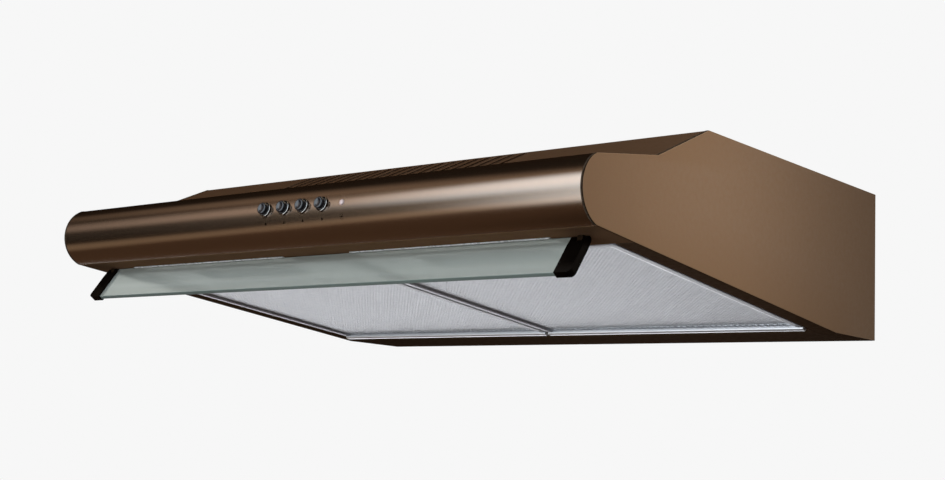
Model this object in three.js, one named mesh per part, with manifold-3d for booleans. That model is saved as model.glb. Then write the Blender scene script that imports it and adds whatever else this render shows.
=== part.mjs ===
// Under-cabinet range hood, 600 mm wide: a slim sheet-metal hood with a rolled nose, two grease filters,
// a swinging glass visor and a side-inlet blower that blows up through a 120 mm duct collar.
//
// Drawing coordinates, in millimetres: X across the hood, Y back from the front of the nose, Z up from the
// rear bottom edge. The exported group moves the origin to the middle of the wall face.

import * as THREE from 'three';
import { mergeVertices } from 'three/addons/utils/BufferGeometryUtils.js';
import Module from 'manifold-3d';

const wasm = await Module();
wasm.setup();

// ---------------------------------------------------------------- driving dimensions
const WIDTH = 600;
const DEPTH = 475;
const HEIGHT = 138;
const WALL_FACE_HEIGHT = HEIGHT / 2;
const SHEET = 1.2; // thickness of the steel sheet
const GAP = 0.3; // clearance between pieces that touch
const HALF_WIDTH = WIDTH / 2;
const INSIDE_HALF_WIDTH = HALF_WIDTH - SHEET - GAP; // half the width between the side panels

// Side profile
const NOSE_RADIUS = 27.5;
const NOSE_CENTRE = { y: 27.5, z: 66.8 };
const NOSE_TOP_ANGLE = 114.5; // degrees, from the +Y direction towards +Z
const NOSE_BOTTOM_ANGLE = 250.5;
const NOTCH = { y: 95, z: 104.8 }; // where the nose's flat top meets the ramp
const PEAK = { y: 167, z: HEIGHT }; // where the ramp meets the top
const KNEE_Y = 394; // where the sloping underside meets the level rear strip
const LIP_DEPTH = 12; // how far the nose and ramp turn down at the notch
const STRIP_LIPS = { front: 8, rear: 14 }; // heights of the underside strips' turned-up edges

// Vent slots in the ramp
const VENT = { count: 21, pitch: 13, width: 5, offset: -6, start: 9, end: 75 };

// Underside, measured back along its slope (v) and up from it
const STRIP_END = 49;
const FILTER_START = 50.3;
const FILTER_END = 358;
const REAR_STRIP_START = 361.4; // leaves room for the filters' rear edges to swing past
const FILTER_INNER_X = 1.3;
const FILTER_OUTER_X = 281.5;
const FLANGE_WIDTH = 17.8;
const RIM = { width: 7, low: -2.4, top: 1.8, frameTop: 8.2, web: 1.2, bevel: 1.8, corner: 5 };
const FACE = { low: 2.1, thickness: 0.8 };
const PAD = { low: 3.3, high: 6.8 };
const TAB = { width: 16, low: 3.6, high: 4.8, end: 363.9, inset: 72 };
const TAB_WINDOW = { low: 2.2, high: 12.6, margin: 1.5 };
const CENTRE_RAIL = { halfWidth: 12, low: 10, high: 11.5 };

// Latch cup and latch in each filter
const CUP = { length: 120, start: 57.7, end: 93.7, low: 1.0, high: 6.8, wall: 1.2 };
const LATCH = { width: 50, start: 60.5, end: 76.5, low: 3.5, high: 5.1, tongue: 20, tip: 46.6 };
const LATCH_NOTCH = { width: 26, depth: 5.4, height: 6.4 };

// Lamps in the front strip
const LAMP = { length: 204, start: 21.5, end: 41.5, ledge: 1.6 };

// Visor
const VISOR_LEAN = 35.5; // degrees forward of straight down
const VISOR_PIVOT = { v: 22.5, z: -3.4 };
const GLASS = { halfWidth: 267.5, top: 2, bottom: -32.8, thickness: 4 };
const HOLDER = { inner: 264, outer: 278.5, bottom: -34, thickness: 6.8, knuckle: 2.8, corner: 4.5 };
const LUG = { inner: 269.5, outer: 274.5, radius: 2.6 };
const VISOR_PIN_RADIUS = 1.2;

// Controls on the nose
const BUTTON = { first: -20, pitch: 22, count: 4, radius: 5, proud: 5.6, stem: 3, elevation: 9.5 };
const BEZEL = { inner: 5.35, outer: 6.1, proud: 1.6, depth: 4 };
const PILOT = { x: 68, radius: 2.4, proud: 1.4, foot: 15.8 };
const SWITCH_BLOCK = { left: -34, right: 76, front: -15.4, back: 8, halfHeight: 13 };

// Round wells pressed into the top, so that nothing stands above it but the duct collar's tube
const WELL = { depth: 3, ductRadius: 70, cableRadius: 13 };

// Blower, with its axis across the hood
const BLOWER = { y: 322, z: 76, halfWidth: 55, wall: 2, startRadius: 46, endRadius: 56, startAngle: 85 };
const NECK = { front: 326, rear: 384, top: HEIGHT - WELL.depth - SHEET - GAP };
const INLET_RADIUS = 36;
const MOTOR_OPENING = 44; // radius of the opening that the motor plate closes
const IMPELLER = { radius: 42, inner: 33.5, halfLength: 44, blades: 20, ring: 2.5 };
const MOTOR = { radius: 33, near: -58.2, far: -112 };
const SHAFT_RADIUS = 3;

// Outlet
const OUTLET = { y: 352, innerRadius: 57.5, outerRadius: 59.2, flangeRadius: 66, top: 166, hole: 56 };
const DAMPER = { z: 150, radius: 55.6, thickness: 1.2, pinRadius: 1.5, knuckle: 2.6, edge: 3.2 };

// Rear of the hood, and the screw holes under the cabinet
const CABINET_HOLE = { x: 235, front: 205, rear: 395, radius: 3.2 };
const KEYHOLE = { x: 220, z: 92, head: 6, slot: 3, rise: 10 };
const GROMMET = { x: 180, y: 446, hole: 8, bore: 3.8, flange: 10.5 };
const TERMINAL = { left: 205, right: 262, front: 426, rear: 468, low: 108, high: 136.4, wall: 2 };
const CAPACITOR = { radius: 14, left: 128, right: 180, y: 300, z: 117 };

// ---------------------------------------------------------------- geometry helpers
const radians = THREE.MathUtils.degToRad;
const pair = (y, z) => new THREE.Vector2(y, z);

// Turns a shape drawn as (Y, Z) and extruded along its own z into one that runs along X.
const ALONG_X = new THREE.Matrix4().makeBasis(
  new THREE.Vector3(0, 1, 0),
  new THREE.Vector3(0, 0, 1),
  new THREE.Vector3(1, 0, 0),
);

// A manifold solid from a closed three.js geometry, with its faces turned outwards.
function solid(geometry) {
  const bare = new THREE.BufferGeometry();
  bare.setAttribute('position', geometry.getAttribute('position').clone());
  if (geometry.index) {
    bare.setIndex(geometry.index.clone());
  }
  const merged = mergeVertices(bare);
  const corners = merged.index.array;
  const places = merged.attributes.position.array;
  const kept = [];
  let volume = 0;
  for (let i = 0; i < corners.length; i += 3) {
    const [a, b, c] = [corners[i], corners[i + 1], corners[i + 2]];
    if (a !== b && b !== c && c !== a) {
      kept.push(a, b, c);
      const [p, q, r] = [a, b, c].map((k) => new THREE.Vector3().fromArray(places, 3 * k));
      volume += p.dot(q.cross(r));
    }
  }
  if (volume < 0) {
    kept.reverse();
  }
  return new wasm.Manifold(new wasm.Mesh({
    numProp: 3,
    vertProperties: new Float32Array(places),
    triVerts: new Uint32Array(kept),
  }));
}

function toGeometry(manifold) {
  const mesh = manifold.getMesh();
  const geometry = new THREE.BufferGeometry();
  geometry.setAttribute('position', new THREE.BufferAttribute(mesh.vertProperties, 3));
  geometry.setIndex(new THREE.BufferAttribute(mesh.triVerts, 1));
  return geometry;
}

const join = (first, ...others) => others.reduce((sum, next) => sum.add(next), first);
const cut = (first, ...tools) => tools.reduce((rest, tool) => rest.subtract(tool), first);

function box(low, high) {
  const size = high.map((value, i) => value - low[i]);
  const middle = high.map((value, i) => (value + low[i]) / 2);
  return solid(new THREE.BoxGeometry(...size).translate(...middle));
}

// A prism along X with its section given as points or a shape in (Y, Z).
function prismX(section, left, right) {
  const shape = Array.isArray(section) ? new THREE.Shape(section) : section;
  const options = { depth: right - left, bevelEnabled: false, curveSegments: 4 };
  const geometry = new THREE.ExtrudeGeometry(shape, options);
  return solid(geometry.applyMatrix4(ALONG_X).translate(left, 0, 0));
}

// A prism along Y with its section given as a shape in (X, Z).
function prismY(shape, front, back) {
  const options = { depth: back - front, bevelEnabled: false, curveSegments: 3 };
  return solid(new THREE.ExtrudeGeometry(shape, options).rotateX(Math.PI / 2).translate(0, back, 0));
}

// A prism along Z with its section given as a shape in (X, Y).
function prismZ(shape, low, high) {
  const options = { depth: high - low, bevelEnabled: false, curveSegments: 2 };
  return solid(new THREE.ExtrudeGeometry(shape, options).translate(0, 0, low));
}

function roundedRectangle(left, front, right, back, radius) {
  const shape = new THREE.Shape();
  shape.absarc(right - radius, back - radius, radius, 0, Math.PI / 2);
  shape.absarc(left + radius, back - radius, radius, Math.PI / 2, Math.PI);
  shape.absarc(left + radius, front + radius, radius, Math.PI, 1.5 * Math.PI);
  shape.absarc(right - radius, front + radius, radius, 1.5 * Math.PI, 2 * Math.PI);
  shape.closePath();
  return shape;
}

function withHole(shape, hole) {
  shape.holes.push(hole);
  return shape;
}

// Cylinders along each axis, given by the point their middle lies on.
function rodX(radius, left, right, y, z, segments = 32) {
  const geometry = new THREE.CylinderGeometry(radius, radius, right - left, segments);
  return solid(geometry.rotateZ(Math.PI / 2).translate((left + right) / 2, y, z));
}

function rodY(radius, front, back, x, z, segments = 32) {
  const geometry = new THREE.CylinderGeometry(radius, radius, back - front, segments);
  return solid(geometry.translate(x, (front + back) / 2, z));
}

function rodZ(radius, low, high, x, y, segments = 32) {
  const geometry = new THREE.CylinderGeometry(radius, radius, high - low, segments);
  return solid(geometry.rotateX(Math.PI / 2).translate(x, y, (low + high) / 2));
}

// A body turned about Z from [radius, height] pairs; a ring's pairs go round its section.
function turned(profile, segments = 48) {
  const points = profile.map(([radius, height]) => pair(radius, height));
  return new THREE.LatheGeometry(points, segments).rotateX(Math.PI / 2);
}

function ring(profile, segments) {
  return turned([...profile, profile[0]], segments);
}

// The closed outline of a bent sheet. Its outer face follows path, and it lies to the right of it.
function bentSheet(path, thickness) {
  const side = (from, to) => pair(to.y - from.y, from.x - to.x).normalize();
  const inner = path.map((point, i) => {
    const before = i > 0 ? side(path[i - 1], point) : side(point, path[i + 1]);
    const after = i < path.length - 1 ? side(point, path[i + 1]) : before;
    const middle = before.clone().add(after).normalize();
    return point.clone().addScaledVector(middle, thickness / middle.dot(before));
  });
  return [...path, ...inner.reverse()];
}

// ---------------------------------------------------------------- materials
function finish(color, roughness, metalness, opacity = 1) {
  return new THREE.MeshStandardMaterial({
    color, roughness, metalness, opacity, transparent: opacity < 1,
  });
}

const FINISHES = {
  brown: () => finish(0x7c614c, 0.35, 0.7),
  aluminium: () => finish(0xb9b9c0, 0.4, 0.9),
  pad: () => finish(0x9a9ba0, 0.6, 0.8),
  zinc: () => finish(0xa8a9a6, 0.45, 0.8),
  glass: () => finish(0xa9b5ae, 0.15, 0.0, 0.6),
  blackPlastic: () => finish(0x0d0d0e, 0.25, 0.0),
  greyPlastic: () => finish(0x4a4c4e, 0.3, 0.1),
  bezel: () => finish(0xb8b4ae, 0.25, 0.9),
  pilot: () => finish(0xf0c8c4, 0.2, 0.0, 0.8),
  lamp: () => finish(0xf2f2ea, 0.4, 0.0, 0.8),
  board: () => finish(0xdfe3df, 0.6, 0.0),
  whitePlastic: () => finish(0xd9d9d6, 0.5, 0.0),
  rubber: () => finish(0x1b1b1c, 0.9, 0.0),
};

// ---------------------------------------------------------------- the assembly's groups
const hood = new THREE.Group();
hood.position.set(0, -DEPTH, -WALL_FACE_HEIGHT);

function place(parent, name, body, finishName) {
  const geometry = body.isBufferGeometry ? toGeometry(solid(body)) : toGeometry(body);
  const mesh = new THREE.Mesh(geometry, FINISHES[finishName]());
  mesh.name = name;
  parent.add(mesh);
  return mesh;
}

const SIDES = [['left', -1], ['right', 1]];

// Orders two X positions so that the mirrored side still runs from low to high.
function span(side, near, far) {
  return side < 0 ? [-far, -near] : [near, far];
}

// Side profile points
function nosePoint(degrees, radius = NOSE_RADIUS) {
  const angle = radians(degrees);
  return pair(NOSE_CENTRE.y + radius * Math.cos(angle), NOSE_CENTRE.z + radius * Math.sin(angle));
}

function noseArc() {
  const steps = 22;
  const turn = NOSE_TOP_ANGLE - NOSE_BOTTOM_ANGLE;
  return Array.from({ length: steps + 1 }, (_, i) => nosePoint(NOSE_BOTTOM_ANGLE + (turn * i) / steps));
}

const UNDERSIDE_FRONT = nosePoint(NOSE_BOTTOM_ANGLE);
const UNDERSIDE_ANGLE = Math.atan2(UNDERSIDE_FRONT.y, KNEE_Y - UNDERSIDE_FRONT.x);

function undersidePoint(v, up = 0) {
  return pair(
    UNDERSIDE_FRONT.x + v * Math.cos(UNDERSIDE_ANGLE) + up * Math.sin(UNDERSIDE_ANGLE),
    UNDERSIDE_FRONT.y - v * Math.sin(UNDERSIDE_ANGLE) + up * Math.cos(UNDERSIDE_ANGLE),
  );
}

// The underside group lies in the sloping plane: its Y runs back down the slope.
const underside = new THREE.Group();
underside.position.set(0, UNDERSIDE_FRONT.x, UNDERSIDE_FRONT.y);
underside.rotation.x = -UNDERSIDE_ANGLE;

// The visor group turns about the hinge pins: its -Z runs down the glass.
const visor = new THREE.Group();
const pivot = undersidePoint(VISOR_PIVOT.v, VISOR_PIVOT.z);
visor.position.set(0, pivot.x, pivot.y);
visor.rotation.x = -radians(VISOR_LEAN);

// The controls group sits at the nose's centre line: its -Y points out through the buttons.
const controls = new THREE.Group();
controls.position.set(0, NOSE_CENTRE.y, NOSE_CENTRE.z);
controls.rotation.x = -radians(BUTTON.elevation);

hood.add(underside, visor, controls);

const BUTTON_X = Array.from({ length: BUTTON.count }, (_, i) => BUTTON.first + i * BUTTON.pitch);

// ---------------------------------------------------------------- shell
function noseFascia() {
  const flatEnd = pair(NOTCH.y - GAP, NOTCH.z);
  const path = [...noseArc(), flatEnd, pair(flatEnd.x, flatEnd.y - LIP_DEPTH)];
  const sheet = prismX(bentSheet(path, SHEET), -INSIDE_HALF_WIDTH, INSIDE_HALF_WIDTH);
  const turn = new THREE.Matrix4().makeRotationX(controls.rotation.x).setPosition(controls.position);
  const bore = (x, radius) => {
    const tool = new THREE.CylinderGeometry(radius, radius, NOSE_RADIUS, 20);
    return solid(tool.translate(x, -NOSE_RADIUS, 0).applyMatrix4(turn));
  };
  const holes = BUTTON_X.map((x) => bore(x, BEZEL.outer + GAP));
  return cut(sheet, ...holes, bore(PILOT.x, PILOT.radius + GAP));
}

function ventSlots() {
  const climb = new THREE.Matrix4().makeRotationX(Math.atan2(PEAK.z - NOTCH.z, PEAK.y - NOTCH.y));
  climb.setPosition(0, NOTCH.y, NOTCH.z);
  const radius = VENT.width / 2;
  return Array.from({ length: VENT.count }, (_, i) => {
    const x = VENT.offset + (i - (VENT.count - 1) / 2) * VENT.pitch;
    const shape = new THREE.Shape();
    shape.absarc(x, VENT.end - radius, radius, 0, Math.PI);
    shape.absarc(x, VENT.start + radius, radius, Math.PI, 2 * Math.PI);
    shape.closePath();
    const options = { depth: 8, bevelEnabled: false, curveSegments: 2 };
    return solid(new THREE.ExtrudeGeometry(shape, options).translate(0, 0, -5).applyMatrix4(climb));
  });
}

// A round well pressed into the top, with a hole in its floor.
function pressedWell(radius, hole, x, y, segments) {
  const floor = HEIGHT - WELL.depth;
  const body = ring([
    [hole, floor - SHEET], [radius + SHEET, floor - SHEET], [radius + SHEET, HEIGHT],
    [radius, HEIGHT], [radius, floor], [hole, floor],
  ], segments);
  return solid(body.translate(x, y, 0));
}

function topCover() {
  const start = NOTCH.y + GAP;
  const startHeight = NOTCH.z + (GAP * (PEAK.z - NOTCH.z)) / (PEAK.y - NOTCH.y);
  const path = [
    pair(start, startHeight - LIP_DEPTH),
    pair(start, startHeight),
    pair(PEAK.y, PEAK.z),
    pair(DEPTH - SHEET - GAP, HEIGHT),
  ];
  const sheet = prismX(bentSheet(path, SHEET), -INSIDE_HALF_WIDTH, INSIDE_HALF_WIDTH);
  const wellHole = (radius, x, y) => rodZ(radius + SHEET / 2, HEIGHT - 5, HEIGHT + 5, x, y, 48);
  const screwHoles = SIDES.flatMap(([, side]) => [CABINET_HOLE.front, CABINET_HOLE.rear].map((y) => (
    rodZ(CABINET_HOLE.radius, HEIGHT - 5, HEIGHT + 5, side * CABINET_HOLE.x, y, 12)
  )));
  const plate = cut(
    sheet,
    wellHole(WELL.ductRadius, 0, OUTLET.y),
    wellHole(WELL.cableRadius, GROMMET.x, GROMMET.y),
    ...screwHoles,
    ...ventSlots(),
  );
  const ductWell = pressedWell(WELL.ductRadius, OUTLET.hole, 0, OUTLET.y, 48);
  const cableWell = pressedWell(WELL.cableRadius, GROMMET.hole, GROMMET.x, GROMMET.y, 24);
  return join(plate, ductWell, cableWell);
}

function backPanel() {
  const low = [-INSIDE_HALF_WIDTH, DEPTH - SHEET, 0];
  const plate = box(low, [INSIDE_HALF_WIDTH, DEPTH, HEIGHT]);
  const keyhole = (x) => {
    const [front, back] = [DEPTH - 5, DEPTH + 5];
    const head = rodY(KEYHOLE.head, front, back, x, KEYHOLE.z, 24);
    const neck = rodY(KEYHOLE.slot, front, back, x, KEYHOLE.z + KEYHOLE.rise, 16);
    const slotLow = [x - KEYHOLE.slot, front, KEYHOLE.z];
    const slot = box(slotLow, [x + KEYHOLE.slot, back, KEYHOLE.z + KEYHOLE.rise]);
    return join(head, neck, slot);
  };
  return cut(plate, keyhole(-KEYHOLE.x), keyhole(KEYHOLE.x));
}

function sidePanel(side) {
  const knee = pair(KNEE_Y, 0);
  const outline = [
    ...noseArc(),
    pair(NOTCH.y, NOTCH.z),
    pair(PEAK.y, PEAK.z),
    pair(DEPTH, HEIGHT),
    pair(DEPTH, 0),
    knee,
  ];
  const plate = prismX(outline, ...span(side, HALF_WIDTH - SHEET, HALF_WIDTH));
  const path = [pair(DEPTH - SHEET - GAP, 0), knee, undersidePoint(FILTER_START)];
  const edge = span(side, HALF_WIDTH - FLANGE_WIDTH, HALF_WIDTH - SHEET / 2);
  return join(plate, prismX(bentSheet(path, SHEET), ...edge));
}

function frontStrip() {
  const lipFront = 1.8;
  const path = [
    pair(STRIP_END, LIP_DEPTH),
    pair(STRIP_END, 0),
    pair(lipFront, 0),
    pair(lipFront, STRIP_LIPS.front),
  ];
  const sheet = prismX(bentSheet(path, SHEET), -INSIDE_HALF_WIDTH, INSIDE_HALF_WIDTH);
  const tools = SIDES.flatMap(([, side]) => {
    const x = side * filterCentre();
    const lamp = box(
      [x - LAMP.length / 2, LAMP.start, -1],
      [x + LAMP.length / 2, LAMP.end, SHEET + 1],
    );
    const notch = box(
      [x - LATCH_NOTCH.width / 2, STRIP_END - LATCH_NOTCH.depth, -1],
      [x + LATCH_NOTCH.width / 2, STRIP_END + 1, LATCH_NOTCH.height],
    );
    return [lamp, notch];
  });
  return cut(sheet, ...tools);
}

// The rear strip follows the slope down to the knee and then runs level to the wall. Its turned-up front
// edge has a window for each filter tab. It is drawn in the underside's own coordinates.
function rearStrip() {
  const inner = HALF_WIDTH - FLANGE_WIDTH - GAP;
  const knee = pair(KNEE_Y, 0).sub(UNDERSIDE_FRONT).length();
  const level = DEPTH - SHEET - GAP - KNEE_Y;
  const path = [
    pair(knee + level * Math.cos(UNDERSIDE_ANGLE), level * Math.sin(UNDERSIDE_ANGLE)),
    pair(knee, 0),
    pair(REAR_STRIP_START, 0),
    pair(REAR_STRIP_START, STRIP_LIPS.rear),
  ];
  const sheet = prismX(bentSheet(path, SHEET), -inner, inner);
  const reach = TAB.width / 2 + TAB_WINDOW.margin;
  const windows = SIDES.flatMap(([, side]) => tabCentres(side).map((x) => box(
    [x - reach, REAR_STRIP_START - 1, TAB_WINDOW.low],
    [x + reach, REAR_STRIP_START + SHEET + 1, TAB_WINDOW.high],
  )));
  return cut(sheet, ...windows);
}

function centreRail() {
  const { halfWidth, low, high } = CENTRE_RAIL;
  return box([-halfWidth, STRIP_END + GAP, low], [halfWidth, REAR_STRIP_START - GAP, high]);
}

// ---------------------------------------------------------------- grease filters
function filterCentre() {
  return (FILTER_INNER_X + FILTER_OUTER_X) / 2;
}

function tabCentres(side) {
  return [side * (filterCentre() - TAB.inset), side * (filterCentre() + TAB.inset)];
}

// A rectangle in the filter's plane, moved in from the filter's outer edge.
function filterOutline(side, inset, radius) {
  const [left, right] = span(side, FILTER_INNER_X, FILTER_OUTER_X);
  return roundedRectangle(
    left + inset, FILTER_START + inset, right - inset, FILTER_END - inset, radius,
  );
}

function tonguePath(side, clearance) {
  const x = side * filterCentre();
  const half = LATCH.tongue / 2 + clearance;
  return box(
    [x - half, FILTER_START - 1, LATCH.low - clearance],
    [x + half, CUP.start + 3, LATCH.high + clearance],
  );
}

function filterFrame(side) {
  const { width, low, top, frameTop, web, bevel, corner } = RIM;
  const beadShape = withHole(
    filterOutline(side, bevel, corner - bevel),
    filterOutline(side, width - bevel, corner - bevel),
  );
  const beadOptions = {
    depth: top - low - 2 * bevel,
    bevelThickness: bevel,
    bevelSize: bevel,
    bevelSegments: 2,
    curveSegments: 2,
  };
  const bead = solid(new THREE.ExtrudeGeometry(beadShape, beadOptions).translate(0, 0, low + bevel));
  const webShape = withHole(
    filterOutline(side, 0, corner),
    filterOutline(side, web, corner - web),
  );
  const lipShape = withHole(
    filterOutline(side, 0, corner),
    filterOutline(side, width, 1),
  );
  const channel = prismZ(webShape, (low + top) / 2, frameTop);
  const lip = prismZ(lipShape, frameTop - 1, frameTop);
  const tabs = tabCentres(side).map((x) => box(
    [x - TAB.width / 2, FILTER_END - web / 2, TAB.low],
    [x + TAB.width / 2, TAB.end, TAB.high],
  ));
  return cut(join(bead, channel, lip, ...tabs), tonguePath(side, GAP));
}

function cupOutline(side, grow, radius) {
  const x = side * filterCentre();
  const half = CUP.length / 2 + grow;
  return roundedRectangle(x - half, CUP.start - grow, x + half, CUP.end + grow, radius);
}

function filterFace(side) {
  const { low, thickness } = FACE;
  const plate = prismZ(filterOutline(side, RIM.web + GAP, RIM.corner), low, low + thickness);
  return cut(plate, prismZ(cupOutline(side, GAP, 4), low - 1, low + thickness + 1));
}

function filterPad(side) {
  const pad = prismZ(filterOutline(side, RIM.web + GAP, RIM.corner), PAD.low, PAD.high);
  return cut(pad, prismZ(cupOutline(side, GAP, 4), PAD.low - 1, PAD.high + 1), tonguePath(side, 2 * GAP));
}

function latchCup(side) {
  const block = prismZ(cupOutline(side, 0, 4), CUP.low, CUP.high);
  const hollow = prismZ(cupOutline(side, -CUP.wall, 3), CUP.low - 1, CUP.high - CUP.wall);
  return cut(block, hollow, tonguePath(side, 2 * GAP));
}

function filterLatch(side) {
  const x = side * filterCentre();
  const slider = roundedRectangle(x - LATCH.width / 2, LATCH.start, x + LATCH.width / 2, LATCH.end, 2);
  const plate = prismZ(slider, LATCH.low, LATCH.high);
  const tongue = box(
    [x - LATCH.tongue / 2, LATCH.tip, LATCH.low],
    [x + LATCH.tongue / 2, LATCH.start + 2, LATCH.high],
  );
  const ridges = [0, 4, 8].map((step) => box(
    [x - LATCH.width / 2 + 5, LATCH.start + 3 + step, LATCH.low - 1.6],
    [x + LATCH.width / 2 - 5, LATCH.start + 5 + step, LATCH.low + 0.5],
  ));
  return join(plate, tongue, ...ridges);
}

// ---------------------------------------------------------------- lamps
function lampLens(side) {
  const x = side * filterCentre();
  const half = LAMP.length / 2;
  const window = box(
    [x - half + GAP, LAMP.start + GAP, -0.4],
    [x + half - GAP, LAMP.end - GAP, SHEET + GAP + 0.6],
  );
  const ledge = box(
    [x - half - LAMP.ledge, LAMP.start - LAMP.ledge, SHEET + GAP],
    [x + half + LAMP.ledge, LAMP.end + LAMP.ledge, SHEET + GAP + 1],
  );
  return join(window, ledge);
}

function lampBoard(side) {
  const x = side * filterCentre();
  const middle = (LAMP.start + LAMP.end) / 2;
  const board = box([x - LAMP.length / 2, middle - 7, 6], [x + LAMP.length / 2, middle + 7, 7.6]);
  const emitters = Array.from({ length: 8 }, (_, i) => {
    const at = x + (i - 3.5) * (LAMP.length / 8);
    return box([at - 2.5, middle - 2.5, 5], [at + 2.5, middle + 2.5, 6.5]);
  });
  return join(board, ...emitters);
}

// ---------------------------------------------------------------- visor
function visorGlass() {
  const { halfWidth, top, bottom, thickness } = GLASS;
  const shape = roundedRectangle(-halfWidth, bottom, halfWidth, top, 1.5);
  const edge = 0.5;
  const options = {
    depth: thickness - 2 * edge,
    bevelThickness: edge,
    bevelSize: edge,
    bevelOffset: -edge,
    bevelSegments: 1,
    curveSegments: 3,
  };
  const plate = new THREE.ExtrudeGeometry(shape, options).translate(0, 0, edge - thickness / 2);
  return solid(plate.rotateX(Math.PI / 2));
}

// An end holder is a thick plate with a knuckle at the top and a rounded outer corner at the bottom.
function visorHolder(side) {
  const { inner, outer, bottom, thickness, knuckle, corner } = HOLDER;
  const half = thickness / 2;
  const outline = new THREE.Shape();
  outline.absarc(0, 0, knuckle, 0, Math.PI);
  outline.quadraticCurveTo(-knuckle, -4, -half, -8);
  outline.lineTo(-half, bottom);
  outline.lineTo(half - 1.5, bottom);
  outline.quadraticCurveTo(half, bottom, half, bottom + 1.5);
  outline.lineTo(half, -8);
  outline.quadraticCurveTo(knuckle, -4, knuckle, 0);
  const plate = prismX(outline, ...span(side, inner, outer));
  const front = new THREE.Shape();
  front.moveTo(side * inner, knuckle);
  front.lineTo(side * inner, bottom);
  front.lineTo(side * (outer - corner), bottom);
  front.quadraticCurveTo(side * outer, bottom, side * outer, bottom + corner);
  front.lineTo(side * outer, knuckle);
  front.closePath();
  const body = plate.intersect(prismY(front, -thickness, thickness));
  const [grooveLeft, grooveRight] = span(side, inner - 1, GLASS.halfWidth + GAP);
  const grooveHalf = GLASS.thickness / 2 + GAP;
  const groove = box(
    [grooveLeft, -grooveHalf, GLASS.bottom - GAP],
    [grooveRight, grooveHalf, knuckle + 1],
  );
  const [forkLeft, forkRight] = span(side, LUG.inner - GAP, LUG.outer + GAP);
  const fork = box([forkLeft, -thickness, -knuckle - 0.4], [forkRight, thickness, knuckle + 1]);
  const [holeLeft, holeRight] = span(side, GLASS.halfWidth, outer - GAP);
  const hole = rodX(VISOR_PIN_RADIUS + GAP, holeLeft, holeRight, 0, 0, 16);
  return cut(body, groove, fork, hole);
}

function visorLug(side) {
  const { v, z } = VISOR_PIVOT;
  const outline = new THREE.Shape();
  outline.moveTo(v + LUG.radius, -GAP);
  outline.lineTo(v - LUG.radius, -GAP);
  outline.absarc(v, z, LUG.radius, Math.PI, 2 * Math.PI);
  outline.closePath();
  const lug = prismX(outline, ...span(side, LUG.inner, LUG.outer));
  const [left, right] = span(side, LUG.inner - 1, LUG.outer + 1);
  return cut(lug, rodX(VISOR_PIN_RADIUS + GAP, left, right, v, z, 16));
}

function visorPin(side) {
  const [left, right] = span(side, GLASS.halfWidth + 2 * GAP, HOLDER.outer - 2 * GAP);
  return rodX(VISOR_PIN_RADIUS, left, right, 0, 0, 16);
}

// ---------------------------------------------------------------- controls
// Turned bodies on the nose are drawn along Z and turned so that +Z points out through the nose.
const OUTWARDS = new THREE.Matrix4().makeRotationX(Math.PI / 2);

function buttonBody() {
  const { radius, proud, stem } = BUTTON;
  const face = NOSE_RADIUS + proud;
  return turned([
    [0, 12], [stem, 12], [stem, 19], [radius - 0.4, 19], [radius, 19.4],
    [radius, face - 1.2], [radius - 0.35, face - 0.35], [radius - 1.2, face],
    [radius - 2, face - 0.2], [0, face - 0.7],
  ], 20);
}

function bezelBody() {
  const { inner, outer, proud, depth } = BEZEL;
  const face = NOSE_RADIUS + proud;
  return ring([
    [inner, NOSE_RADIUS - depth], [outer, NOSE_RADIUS - depth],
    [outer, face - 0.5], [outer - 0.4, face], [inner, face],
  ], 20);
}

function pilotBody() {
  const { radius, proud, foot } = PILOT;
  const face = NOSE_RADIUS + proud;
  return turned([
    [0, foot], [radius, foot], [radius, face - 1.4], [radius * 0.85, face - 0.6],
    [radius * 0.5, face - 0.15], [0, face],
  ], 16);
}

function switchBlock() {
  const { left, right, front, back, halfHeight } = SWITCH_BLOCK;
  const block = box([left, front, -halfHeight], [right, back, halfHeight]);
  const sockets = BUTTON_X.map((x) => rodY(BUTTON.stem + 0.5, front - 1, -8, x, 0, 16));
  return cut(block, ...sockets);
}

function placeControls() {
  const outwards = (geometry, x) => geometry.applyMatrix4(OUTWARDS).translate(x, 0, 0);
  BUTTON_X.forEach((x, i) => {
    place(controls, `button_${i + 1}`, outwards(buttonBody(), x), 'greyPlastic');
    place(controls, `button_bezel_${i + 1}`, outwards(bezelBody(), x), 'bezel');
  });
  place(controls, 'pilot_lens', outwards(pilotBody(), PILOT.x), 'pilot');
  place(controls, 'switch_block', switchBlock(), 'whitePlastic');
}

// ---------------------------------------------------------------- blower
// The scroll's outline: its radius grows from the neck's front wall round to its rear wall.
function scrollOutline(inset, top) {
  const { y, z, startRadius, endRadius, startAngle } = BLOWER;
  const steps = 36;
  const spiral = Array.from({ length: steps + 1 }, (_, i) => {
    const angle = radians(startAngle + ((360 - startAngle) * i) / steps);
    const radius = startRadius + ((endRadius - startRadius) * i) / steps - inset;
    return pair(y + radius * Math.cos(angle), z + radius * Math.sin(angle));
  });
  return [pair(NECK.front + inset, top), ...spiral, pair(NECK.rear - inset, top)];
}

function blowerScroll() {
  const { y, z, halfWidth, wall } = BLOWER;
  const shell = prismX(scrollOutline(0, NECK.top), -halfWidth, halfWidth);
  const hollow = prismX(scrollOutline(wall, HEIGHT), -halfWidth + wall, halfWidth - wall);
  const reach = OUTLET.hole + 6;
  const flange = box(
    [-reach, OUTLET.y - reach, NECK.top - 2.2],
    [reach, OUTLET.y + reach, NECK.top],
  );
  const inlet = rodX(INLET_RADIUS, 0, halfWidth + 1, y, z, 32);
  const motorOpening = rodX(MOTOR_OPENING, -halfWidth - 1, 0, y, z, 32);
  return cut(join(shell, flange), hollow, inlet, motorOpening);
}

// Round pieces on the blower's axis are drawn about Z at the origin and turned to run along X.
function onBlowerAxis(body) {
  return body.applyMatrix4(ALONG_X).translate(0, BLOWER.y, BLOWER.z);
}

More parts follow.
